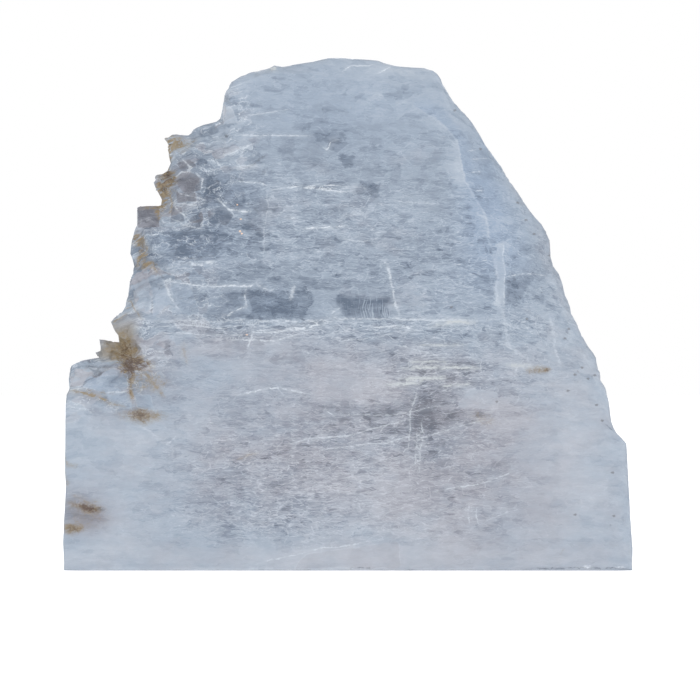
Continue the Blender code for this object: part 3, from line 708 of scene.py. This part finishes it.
# %% Ochre at the ragged end
# Each row: the middle across and up, half the width and half the height, how much stain, and how brown.
STAINS = [
    (-93.5, 194, 5, 6.5, 1.1, 0.55), (-91, 185.5, 4, 4.5, 0.75, 0.3), (-93.5, 179.5, 1.8, 4.2, 0.8, 0.4),
    (-87, 214.5, 6.5, 4, 1, 0.3), (-91.5, 208, 2.6, 6.5, 1, 0.4), (-91, 199.5, 3, 3.4, 1, 0.5),
    (-101, 182.6, 6.5, 1.6, 0.5, 0.2), (-106, 158, 3.2, 3.4, 0.9, 0.5), (-101, 152.6, 5, 2.4, 0.9, 0.45),
    (-107, 166, 3.8, 4, 1, 0.5), (-109.5, 132.5, 4, 3, 0.35, 0.15), (-117.5, 124, 3, 2.4, 0.4, 0.2),
    (-118, 110.5, 10.5, 6, 0.5, 0.35), (-102.6, 102.4, 5.6, 2.8, 1, 0.9),
    (-107.5, 101.5, 3.4, 4.6, 0.95, 0.9),
    (-112.5, 109.5, 5, 6, 0.75, 0.6), (-98.5, 94, 6, 4.4, 0.6, 0.4), (-112, 118, 4, 5, 0.35, 0.3),
    (-107, 91, 1.8, 5, 0.85, 0.5), (-106.5, 77.5, 7, 3.4, 0.95, 0.85), (-97, 77, 8, 3.4, 0.4, 0.2),
    (-128, 89, 12, 1.4, 0.5, 0.2), (-139.5, 52.5, 2.6, 1.6, 0.7, 0.4), (-139.5, 43.5, 2.4, 3.2, 0.5, 0.3),
    (-131.5, 32.8, 7.5, 2, 1, 1.1), (-136.5, 21, 4, 2.2, 1, 0.7), (-130, 27, 12, 7, 0.36, 0.5),
    (-52, 57, 3.5, 0.8, 0.35, 0.1), (92.5, 101.6, 5, 1.6, 0.7, 0.6), (96.4, 100.2, 2.2, 1.1, 0.8, 0.9),
    (67, 75, 8.5, 4, 0.42, 0), (107.5, 8.8, 0.7, 4, 0.4, 0.1),
]
MOST_STAIN, MOST_BROWN = 1.4, 1.2
STAIN_FALL = 0.8
stain_here = edge_here.copy()
stain_here[~front, 1] = TURNED_HEIGHT - stain_here[~front, 1]
stain, brown = np.zeros(count), np.zeros(count)
for across, up, half_width, half_height, most, spot_brown in STAINS:
    off = ((stain_here[:, 0] - across) / half_width)**2 + ((stain_here[:, 1] - up) / half_height)**2
    amount = most * np.exp(-STAIN_FALL * off)
    brown += amount * spot_brown
    stain += amount
hand_over("stain", np.clip(stain, 0, MOST_STAIN), np.clip(brown, 0, MOST_BROWN))
hand_over("wall", on_wall)
hand_over("broken", from_broken_rim)

# %% [markdown]
# ## Specks and glints
# A handful of dark grains sit in the face at the right, and a few small cracks at the left send back a warm
# spark. They are too few for a pattern, so each is placed. A speck is smaller than a triangle, so each point
# stores the way to the nearest one as a vector: the material draws a dot where that vector gets short.

# %% Specks of grit
SPECKS = [
    (53.5, 230.4), (66.5, 211.1), (85.2, 184.2), (89.4, 175.5), (93.5, 168.5), (101.5, 157.8), (51.8, 131.8),
    (89.8, 125.9), (111, 120.8), (108.9, 116.1), (121, 111.9), (117.5, 101.4), (113.7, 97.9), (120.4, 95.9),
    (123.9, 97.6), (110.2, 89.8), (124.4, 82.8), (127.2, 74.9), (132.4, 48.9), (113.5, 27.9), (133, 27.2),
    (74.5, 84.4),
]
GLINTS = [(-55.5, 182.8), (-54, 169.8), (-53, 168.6), (-53.5, 175.8), (-50.6, 117.8)]


def way_to_nearest(spots):
    """At every point, the way to the nearest spot across and up, with the distance in between."""
    offsets = skin[:, None, [0, 2]] - np.array(spots)[None]
    distances = np.hypot(offsets[..., 0], offsets[..., 1])
    nearest = distances.argmin(1)
    rows = np.arange(count)
    return offsets[rows, nearest, 0], distances[rows, nearest], offsets[rows, nearest, 1]


hand_over("speck", *way_to_nearest(SPECKS))
hand_over("glint", *way_to_nearest(GLINTS))
print(len(STAINS), "stains,", len(SPECKS), "specks")

# %% [markdown]
# ## Shader maths that reads as maths
# A stone like this takes hundreds of Math nodes, and wiring them one by one hides what they do. Here a Wire
# holds a socket and knows the operators, so that an expression such as 1 - mask adds its own nodes. A
# Finish holds the material's tree and makes every other kind of node with one method.

# %% A wire and a finish
class Wire:
    """A value on its way through a material's nodes."""

    def __init__(self, socket):
        self.socket = socket

    def maths(self, operation, *inputs):
        tree = self.socket.id_data
        node = tree.nodes.new("ShaderNodeMath")
        node.operation = operation
        for socket, value in zip(node.inputs, inputs):
            connect(socket, value)
        return Wire(node.outputs[0])

    def __add__(self, other):
        return self.maths("ADD", self, other)

    def __sub__(self, other):
        return self.maths("SUBTRACT", self, other)

    def __rsub__(self, other):
        return self.maths("SUBTRACT", other, self)

    def __mul__(self, other):
        return self.maths("MULTIPLY", self, other)

    def __truediv__(self, other):
        return self.maths("DIVIDE", self, other)

    def __pow__(self, other):
        return self.maths("POWER", self, other)

    def __abs__(self):
        return self.maths("ABSOLUTE", self)

    __radd__ = __add__
    __rmul__ = __mul__

    def most(self, other):
        return self.maths("MAXIMUM", self, other)

    def least(self, other):
        return self.maths("MINIMUM", self, other)

    def held(self):
        """Kept between 0 and 1."""
        return self.most(0.0).least(1.0)

    def eased(self, low, high):
        """0 up to low and 1 from high, with an even ease in between; high may be the lower of the two."""
        tree = self.socket.id_data
        node = tree.nodes.new("ShaderNodeMapRange")
        node.interpolation_type = "SMOOTHSTEP"
        ends = (self, low, high, 0.0, 1.0) if low < high else (self, high, low, 1.0, 0.0)
        for socket, value in zip(node.inputs, ends):
            connect(socket, value)
        return Wire(node.outputs[0])


def connect(socket, value):
    """Links a wire to a socket, or sets a plain value on it."""
    if isinstance(value, Wire):
        socket.id_data.links.new(value.socket, socket)
    else:
        socket.default_value = value


class Finish:
    """A material whose nodes are made one by one."""

    def __init__(self, name):
        self.material = bpy.data.materials.new(name)
        self.material.use_nodes = True
        self.tree = self.material.node_tree
        self.tree.nodes.clear()

    def node(self, kind, settings=None, inputs=None, output=0):
        """A node of any kind: its settings first, then its sockets' values or wires."""
        node = self.tree.nodes.new(kind)
        for name, value in (settings or {}).items():
            setattr(node, name, value)
        for socket, value in (inputs or {}).items():
            connect(node.inputs[socket], value)
        return Wire(node.outputs[output])

    def stored(self, name, output="Fac"):
        return self.node("ShaderNodeAttribute", {"attribute_name": name}, output=output)

    def parts(self, vector):
        """The three numbers of a vector."""
        split = self.tree.nodes.new("ShaderNodeSeparateXYZ")
        connect(split.inputs[0], vector)
        return [Wire(output) for output in split.outputs]

    def scaled(self, place, lengths, layer=0.0):
        """The place counted in these lengths of millimetres, moved on to a pattern of its own."""
        across, up = (1 / (length * MM) for length in lengths)
        inputs = {0: place, 1: (across, up, 1.0), 2: (layer * 3.7, layer * 5.3, 0.0)}
        return self.node("ShaderNodeVectorMath", {"operation": "MULTIPLY_ADD"}, inputs)

    def noise(self, place, lengths, layer, detail=2.0, roughness=0.5, output="Fac"):
        inputs = {"Vector": self.scaled(place, lengths, layer), "Scale": 1.0, "Detail": detail,
                  "Roughness": roughness}
        return self.node("ShaderNodeTexNoise", {"noise_dimensions": "2D"}, inputs, output)

    def warped(self, place, length, reach, layer):
        """The place pushed about by up to half the reach, in waves of this length."""
        push = self.noise(place, (length, length), layer, 3.0, 0.55, "Color")
        centred = self.node("ShaderNodeVectorMath", {"operation": "SUBTRACT"}, {0: push, 1: (0.5, 0.5, 0.5)})
        inputs = {0: centred, 1: (reach[0] * MM, reach[1] * MM, 0.0), 2: place}
        return self.node("ShaderNodeVectorMath", {"operation": "MULTIPLY_ADD"}, inputs)

    def cells(self, place, lengths, layer, feature="F1", output="Color"):
        settings = {"feature": feature, "voronoi_dimensions": "2D"}
        inputs = {"Vector": self.scaled(place, lengths, layer), "Scale": 1.0, "Randomness": 1.0}
        return self.node("ShaderNodeTexVoronoi", settings, inputs, output)

    def mixed(self, share, first, second):
        """Two colours mixed; 6 and 7 are the node's colour inputs, and 2 is its colour output."""
        return self.node("ShaderNodeMix", {"data_type": "RGBA"}, {0: share, 6: first, 7: second}, 2)


def seen(red, green, blue):
    """A colour as read off a screen, 0 to 255, turned into the linear values that shaders use."""
    channels = [value / 255 for value in (red, green, blue)]
    linear = [c / 12.92 if c <= 0.04045 else ((c + 0.055) / 1.055) ** 2.4 for c in channels]
    return (*linear, 1.0)


stone = Finish("selenite")

# %% [markdown]
# ## The body of the stone
# The colour runs from a cool grey-blue to a mauve grey, lighter where the stone is milky. The stored clouds
# set the large areas. A noise cut off at one value parts smooth milky islands from silky ground with a hard
# edge, and cells pulled out along the slab break up the ground like bricks, as cleavage does. Patterns are
# looked up in two dimensions, which costs half as much as three. On the faces these are across and up, each
# shifted a little with the depth. On the edge of the slab they change to up and depth, so that the pattern
# stands upright there, like the sheets that one sees from the side.

# %% Patterns on the skin
DEPTH_SHIFT = (1.9, 0.8)
EDGE_SLANT = (0.4, 0.03)
# Sizes of the marks along and up, in millimetres.
CLOUD, SMOKE, BRICK, SMALL_BRICK, FRAY = (26, 17), (8, 4.4), (13, 4.6), (4.6, 1.7), (3.4, 1.5)

place = stone.node("ShaderNodeTexCoord", output="Object")
east, depth, up = stone.parts(place)
wall, broken_distance = stone.stored("wall"), stone.stored("broken")
on_edge = wall.eased(0.35, 0.65)
along_sheet = (east + depth * DEPTH_SHIFT[0]) * (1 - on_edge) + (up + east * EDGE_SLANT[0]) * on_edge
across_sheet = (up + depth * DEPTH_SHIFT[1]) * (1 - on_edge) + (depth + up * EDGE_SLANT[1]) * on_edge
sheet_place = stone.node("ShaderNodeCombineXYZ", {}, {0: along_sheet, 1: across_sheet})
flow = stone.warped(sheet_place, 6.5, (4.4, 2.2), 1)
tone, warmth, fibre_area = (stone.stored(name) for name in ("tone", "warmth", "fibre"))
clouds = stone.noise(sheet_place, CLOUD, 3, 3.0)
smoke = stone.noise(flow, SMOKE, 4, 3.0, 0.6)
block, block_too, _ = stone.parts(stone.cells(flow, BRICK, 5))
small_block, small_block_too, _ = stone.parts(stone.cells(flow, SMALL_BRICK, 6))
fray = (stone.noise(flow, FRAY, 7, 3.0, 0.65) - 0.5) * 6.0

# %% Milky islands in silky ground
GAP, ISLAND = (8, 4.5), (15, 6.5)
island_in, island_strength_wire, _ = stone.parts(stone.stored("island", "Vector"))
here_noise = stone.noise(sheet_place, GAP, 13, 2.0)
busy = (fibre_area * 0.9 + 0.28 + (clouds - 0.5) * 0.7).most(0.14).least(1.5)
placed_island = (island_in + fray).eased(-0.3, 0.4) * island_strength_wire
island_noise = stone.noise(flow, ISLAND, 8, 4.0, 0.58) + (block_too - 0.5) * 0.10 - fibre_area * 0.16
found_island = island_noise.eased(0.478, 0.492) * 0.75
island_rim = abs(island_noise - 0.484).eased(0.012, 0.002) * here_noise.eased(0.42, 0.56)
island = placed_island.most(found_island)
ground = 1 - island
facet_in, facet_tone, facet_warmth = stone.parts(stone.stored("facet", "Vector"))
facet_edge = facet_in + fray * 0.12
on_facet = facet_edge.eased(-0.25, 0.3)
facet_rim = abs(facet_edge).eased(0.45, 0.1) * here_noise.eased(0.40, 0.55)
window_in, window_depth, streaked_in = stone.parts(stone.stored("window", "Vector"))
window_edge = window_in + fray * 0.75
window_mask = window_edge.eased(-0.6, 0.8) * window_depth
streaked_mask = (streaked_in + fray * 0.5).eased(-1.6, 1.8)
plain = (on_facet * 0.65).most(window_mask * 0.6).most(streaked_mask)
silk = busy * ground * (1 - plain)
patchy = (block - 0.5) * 0.34 + (small_block - 0.5) * 0.20
flakes = small_block_too.eased(0.80, 0.86) * here_noise.eased(0.60, 0.45) * 0.45
level = tone + (patchy - flakes * busy) * (1 - island * 0.6) + island_rim * (busy * 0.40 + 0.14)
level = level + (clouds - 0.5) * 0.45 + (smoke - 0.5) * 0.55 + island * 0.20 - 0.06

# %% [markdown]
# ## Silk
# The silk is many thin fibres side by side: dark flecks a few millimetres long and half a millimetre thick,
# light ones between them, all wavy. Noise squeezed in height and pulled out in length gives both. Thin
# bright hairs come from the ridges of a second noise, where it crosses its middle value.

# %% Flecks, strands and hairs
FLECK, LONG_FLECK, STRAND = (2.8, 0.46), (8.5, 1.25), (11, 1.7)
HAIR, CRINKLE, CRACK = (13, 3.4), (7.5, 1.05), (17, 4.8)
broken_zone = broken_distance.eased(25.0, 9.0)
silk = silk * (1 - broken_zone * 0.75)
fleck = stone.noise(flow, FLECK, 10, 3.0, 0.6)
fleck_long = stone.noise(flow, LONG_FLECK, 11, 3.0, 0.6)
thread = (fleck - 0.5) * 1.2 + (fleck_long - 0.5) * 1.0
dark_fleck = thread.eased(0.06, 0.38)
light_fleck = thread.eased(-0.03, -0.32)
strand_noise = stone.noise(flow, STRAND, 12, 2.0, 0.5)
strand = abs(strand_noise - 0.5).eased(0.036, 0.005) * here_noise.eased(0.36, 0.56)
hair_noise = stone.noise(flow, HAIR, 26, 3.0, 0.55)
hair = abs(hair_noise - 0.5).eased(0.018, 0.003) * here_noise.eased(0.46, 0.58)
crinkle_noise = stone.noise(flow, CRINKLE, 30, 2.0, 0.55)
crinkle = abs(crinkle_noise - 0.5).eased(0.042, 0.006)
crinkle_dark = abs(crinkle_noise - 0.59).eased(0.034, 0.006)
crack_cells = stone.cells(flow, CRACK, 14, "DISTANCE_TO_EDGE", "Distance")
crack = crack_cells.eased(0.034, 0.008) * here_noise.eased(0.54, 0.42)
level = level + (light_fleck * 0.36 + strand * 0.75 - dark_fleck * 0.46 - 0.16) * silk
level = level + (hair + crack) * (silk * 0.6 + 0.07) + (fleck - 0.5) * (busy * 0.42 + 0.18)
level = level + (crinkle * 0.60 - crinkle_dark * 0.40) * busy * (1 - plain * 0.7)

# %% [markdown]
# ## The broken end
# Here the crystal broke like glass, in shells and blocks a few millimetres across. Each lies at its own angle
# to the light and is painted with the lighter or darker tone, from mauve to a dark blue, that this angle
# would
# give: painted light and shade. Along many of the joints air has got in.

# %% Shells of the broken end
SHELL, SMALL_SHELL, SHELL_RIDGE = (6.5, 4.6), (2.4, 1.8), (5.5, 3.6)
jagged = stone.warped(sheet_place, 2.6, (3.6, 3.2), 29)
shell_painted_shade, shell_painted_hue, _ = stone.parts(stone.cells(jagged, SHELL, 27))
shell_joint = stone.cells(jagged, SHELL, 27, "DISTANCE_TO_EDGE", "Distance").eased(0.06, 0.012)
small_shell_painted_shade, _, _ = stone.parts(stone.cells(jagged, SMALL_SHELL, 28))
shell_ridge = abs(stone.noise(jagged, SHELL_RIDGE, 32, 3.0, 0.6) - 0.5).eased(0.026, 0.005)
# Painted light and shade: each shell, large and small, gets a lighter or darker tone of its own for the angle
# it lies at.
shells = (shell_painted_shade - 0.5) * 0.55 + (small_shell_painted_shade - 0.5) * 0.42 + (fleck - 0.5) * 0.5
shell_line = (shell_joint * 0.6 + shell_ridge) * here_noise.eased(0.42, 0.56)
shell_line = shell_line * broken_zone * (1 - on_facet * 0.7)
shells = shells + shell_line * 0.30
level = level + shells * broken_zone * (1 - on_facet * 0.6)
level = level + on_facet * facet_tone + facet_rim * 0.26

# %% [markdown]
# ## Clear windows
# A window is darker and plainer than the milk round it, with a frayed edge. The one at the middle of the
# waist is crossed by upright streaks, where thin sheets stand on edge.

# %% Windows
STREAK, GLASS = (0.62, 9), (6.5, 3.6)
upright = stone.noise(sheet_place, STREAK, 16, 2.0, 0.6)
glassy = stone.noise(flow, GLASS, 17, 3.0, 0.6)
upright_light = upright.eased(0.50, 0.66) * (east.eased(0.002, 0.010) * 0.85 + 0.15)
window_tone = window_mask * (0.72 + (glassy - 0.5) * 1.2)
window_rim = abs(window_edge).eased(0.5, 0.1) * window_depth * here_noise.eased(0.44, 0.56)
level = level - window_tone - streaked_mask * (0.84 - upright_light * 1.0) + window_rim * 0.3

# %% [markdown]
# ## The ridge at the right
# The polished face ends in a low ridge. Left of it runs a milky band, and right of it the natural face falls
# away, clearer and bluer. The signed distance to the ridge gives both, with a thin light line in between.

# %% The ridge
ridge_across, ridge_near, ridge_here = stone.parts(stone.stored("ridge", "Vector"))
ridge_off = ridge_across + (stone.noise(flow, (3, 2), 33, 2.0) - 0.5) * 1.4
ridge_side = ridge_off.eased(-0.3, 0.5)
ridge_band = ridge_near.eased(9.0, 0.5) * (1 - ridge_side)
ridge_blue = ridge_near.eased(9.0, 1.0) * ridge_side
ridge_line = abs(ridge_off).eased(0.9, 0.2) * ridge_near.eased(1.6, 0.9)
level = level + (ridge_band * 0.22 - ridge_blue * 0.12 + ridge_line * 0.30) * ridge_here

# %% [markdown]
# ## Colour
# All of the above adds up to one level, from dark glass to thick milk. It picks the colour between three
# tones, once for the cool parts of the stone and once for the mauve ones.

# %% From level to colour
COOL, MAUVE, BLUE = seen(149, 161, 176), seen(155, 157, 167), seen(142, 158, 179)
COOL_PALE, MAUVE_PALE = seen(184, 192, 202), seen(186, 189, 197)
COOL_DEEP, MAUVE_DEEP = seen(84, 98, 117), seen(95, 98, 109)

# The shells of the broken end shift between mauve and blue here as part of their painted light and shade.
warm = (warmth + (stone.noise(sheet_place, (24, 15), 18, 2.0) - 0.5) * 0.9 + (glassy - 0.5) * 0.5
        + (shell_painted_hue - 0.5) * broken_zone * 1.3 + on_facet * facet_warmth).held()
cold = (0 - warmth + (clouds - 0.5) * 0.3 + ridge_blue * 0.5 - on_facet * facet_warmth).held()
middle = stone.mixed(cold, stone.mixed(warm, COOL, MAUVE), BLUE)
pale = stone.mixed(warm, COOL_PALE, MAUVE_PALE)
deep = stone.mixed(warm, COOL_DEEP, MAUVE_DEEP)
body = stone.mixed((level * 0.9).held(), stone.mixed((level * -0.8).held(), middle, deep), pale)

# %% [markdown]
# ## Drawing the veins
# Each set of veins comes as three numbers. The line is drawn where the signed distance is within the half
# width; noise in the distance frays it and noise in the strength breaks it up. Round the line hangs a faint
# milky halo, because the sheet has lifted there too.

# %% Veins on the body
VEIN_AND_HIGHLIGHT_WHITE, VEIN_CREAM, VEIN_DARK = seen(212, 218, 225), seen(188, 193, 196), seen(92, 100, 112)
JITTER, BREAK = (2.0, 0.8), (3.6, 2.4)
jitter = (stone.noise(flow, JITTER, 20, 2.0, 0.65) - 0.5) * 3.4
broken_up = stone.noise(flow, BREAK, 21, 2.0).eased(0.36, 0.56)


def vein_mask(name, halo):
    """The drawn line of one set of veins, and the faint halo round it."""
    across_it, distance, strength = stone.parts(stone.stored(name, "Vector"))
    near = distance.eased(1.5, 0.7)
    line = abs(across_it + jitter).eased(1.2, 0.25) * near * strength * (0.18 + broken_up * 0.82)
    return line, distance.eased(3.2, 0.3) * strength * halo


along_vein_and_highlight_line, along_halo = vein_mask("along", 0.16)
across_line, across_halo = vein_mask("across", 0.20)
cream_line, cream_halo = vein_mask("cream", 0.20)
dark_line, _ = vein_mask("dark", 0.0)
rust_line, rust_halo = vein_mask("rust", 0.30)
white_veins_and_highlights = along_vein_and_highlight_line.most(across_line).most(shell_line * 0.55)
haze = along_halo.most(across_halo)
body = stone.mixed(haze.held(), body, COOL_PALE)
body = stone.mixed((dark_line * 0.8).held(), body, VEIN_DARK)
# Painted highlight in part: this white also draws the bright lines on the lips of the sheets, where a ledge
# catches the light.
body = stone.mixed((white_veins_and_highlights * 0.85).held(), body, VEIN_AND_HIGHLIGHT_WHITE)
body = stone.mixed((cream_line * 0.8 + cream_halo).held(), body, VEIN_CREAM)

# %% [markdown]
# ## Ochre, grit and glints
# Ochre lies in the pores of the broken end, so its edge follows a grainy noise, and it turns brown where it
# is thick. On the blades it is drawn out in rays from their root.

# %% Stains and specks on the body
PORE, GRAIN, BLOT = (3.2, 2.6), (1.1, 0.9), (2.8, 2.1)
OCHRE, BROWN, BEIGE = seen(138, 120, 86), seen(82, 60, 41), seen(138, 129, 115)
GRIT, GLINT = seen(84, 80, 80), seen(255, 214, 176)
stain_amount, stain_brown, _ = stone.parts(stone.stored("stain", "Vector"))
pores = stone.noise(flow, PORE, 22, 4.0, 0.65)
grains = stone.noise(sheet_place, GRAIN, 23, 2.0, 0.6)
blotchy = broken_zone.most(0.3)
blots = stone.noise(jagged, BLOT, 34, 3.0, 0.65).eased(0.44, 0.58)
root_east = east - BLADE_ROOT[0] * MM
root_up = up - BLADE_ROOT[1] * MM
turn = root_up.maths("ARCTAN2", root_up, root_east)
root_distance = (root_east * root_east + root_up * root_up) ** 0.5 / MM
ray_place = stone.node("ShaderNodeCombineXYZ", {}, {0: turn * 5.0, 1: depth * 40.0})
ray_inputs = {"Vector": ray_place, "Scale": 1.0}
rays = stone.node("ShaderNodeTexNoise", {"noise_dimensions": "2D"}, ray_inputs, "Fac")
fan_mask = root_distance.eased(24.0, 13.0) * root_up.eased(-3 * MM, 2 * MM) * root_east.eased(6 * MM, -2 * MM)
fan_brown = rays.eased(0.46, 0.66) * root_distance.eased(19.0, 5.0)
body = stone.mixed(fan_mask * 0.80, body, stone.mixed(fan_brown, BEIGE, OCHRE))
rubbed = pores + (grains - 0.5) * (0.9 + broken_zone * 1.3)
rubbed = rubbed + (rays - 0.5) * root_distance.eased(16.0, 4.0) * 1.8
blotted = blots * blotchy + 0.5 - blotchy * 0.5
soaked = stain_amount * (0.24 + rubbed * 0.65 + blotted * 0.65)
soaked = soaked + shell_joint * stain_amount.eased(0.05, 0.3) * 0.14
soak_mask = (soaked.eased(0.12, 1.0) * 0.88).most((rust_line * 0.65 + rust_halo * (0.2 + pores)).held())
browned = stain_brown * (0.3 + rubbed) + (grains - 0.5) * 0.3 + rust_line * 0.1
ochre = stone.mixed(browned.eased(0.15, 1.0), OCHRE, BROWN)
body = stone.mixed(soak_mask, body, ochre)


def dot_mask(name, radius):
    """Dots of one radius in millimetres at the stored spots."""
    across_it, distance, up_it = stone.parts(stone.stored(name, "Vector"))
    length = (across_it * across_it * 0.5 + up_it * up_it) ** 0.5 + (grains - 0.5) * 0.9
    return length.eased(radius, radius * 0.4) * distance.eased(3.0, 2.0) * (1 - on_edge)


body = stone.mixed(dot_mask("speck", 0.8) * 0.55, body, GRIT)
body = stone.mixed(dot_mask("glint", 0.45) * 0.8, body, GLINT)

# %% [markdown]
# ## Gloss and touch
# Polished milk has a satin sheen, windows are glossier, and the broken end and the stains are dull. The
# fibres and the pores can be felt, so a Bump node raises them. It works its input out three times over, so
# it gets few nodes. A little of the light goes through the stone and spreads in it: plain transmission,
# subsurface and absorption values, the same all over.

# %% Roughness, bump and the shader
FELT, FELT_BROKEN = (5.5, 0.9), (3.0, 2.4)
BUMP_DEPTH = 0.35
ragged = broken_distance.eased(13.0, 5.0)
roughness = 0.36 + (fleck - 0.5) * 0.12 - window_mask * 0.10 + ragged * 0.16 + soak_mask * 0.22 + wall * 0.08
felt = stone.noise(sheet_place, FELT, 24, 2.0, 0.6)
felt_broken = stone.noise(sheet_place, FELT_BROKEN, 25, 3.0, 0.65)
height = (felt - 0.5) * 0.7 + (felt_broken - 0.5) * (ragged * 3.0 + wall * 1.2 + 0.25)
bump = stone.node("ShaderNodeBump", {}, {"Strength": 0.6, "Distance": BUMP_DEPTH * MM, "Height": height})

shader = stone.node("ShaderNodeBsdfPrincipled", {}, {
    "Base Color": body,
    "Roughness": roughness.most(0.18).least(0.9),
    "Normal": bump,
    "IOR": 1.52,
    "Transmission Weight": 0.08,
    "Subsurface Weight": 0.12,
    "Subsurface Radius": (1.0, 1.1, 1.25),
    "Subsurface Scale": 2.5 * MM,
    "Coat Weight": 0.12,
    "Coat Roughness": 0.22,
})
absorb = stone.node("ShaderNodeVolumeAbsorption", {}, {"Color": (0.78, 0.86, 0.94, 1), "Density": 14.0})
outlet = stone.tree.nodes.new("ShaderNodeOutputMaterial")
connect(outlet.inputs["Surface"], shader)
connect(outlet.inputs["Volume"], absorb)
stone_mesh.materials.clear()
stone_mesh.materials.append(stone.material)
print(len(stone.tree.nodes), "nodes in the selenite")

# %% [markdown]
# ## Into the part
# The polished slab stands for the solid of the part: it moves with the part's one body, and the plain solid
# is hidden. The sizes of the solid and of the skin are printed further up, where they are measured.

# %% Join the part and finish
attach(slab, "root")
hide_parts("selenite_slab")
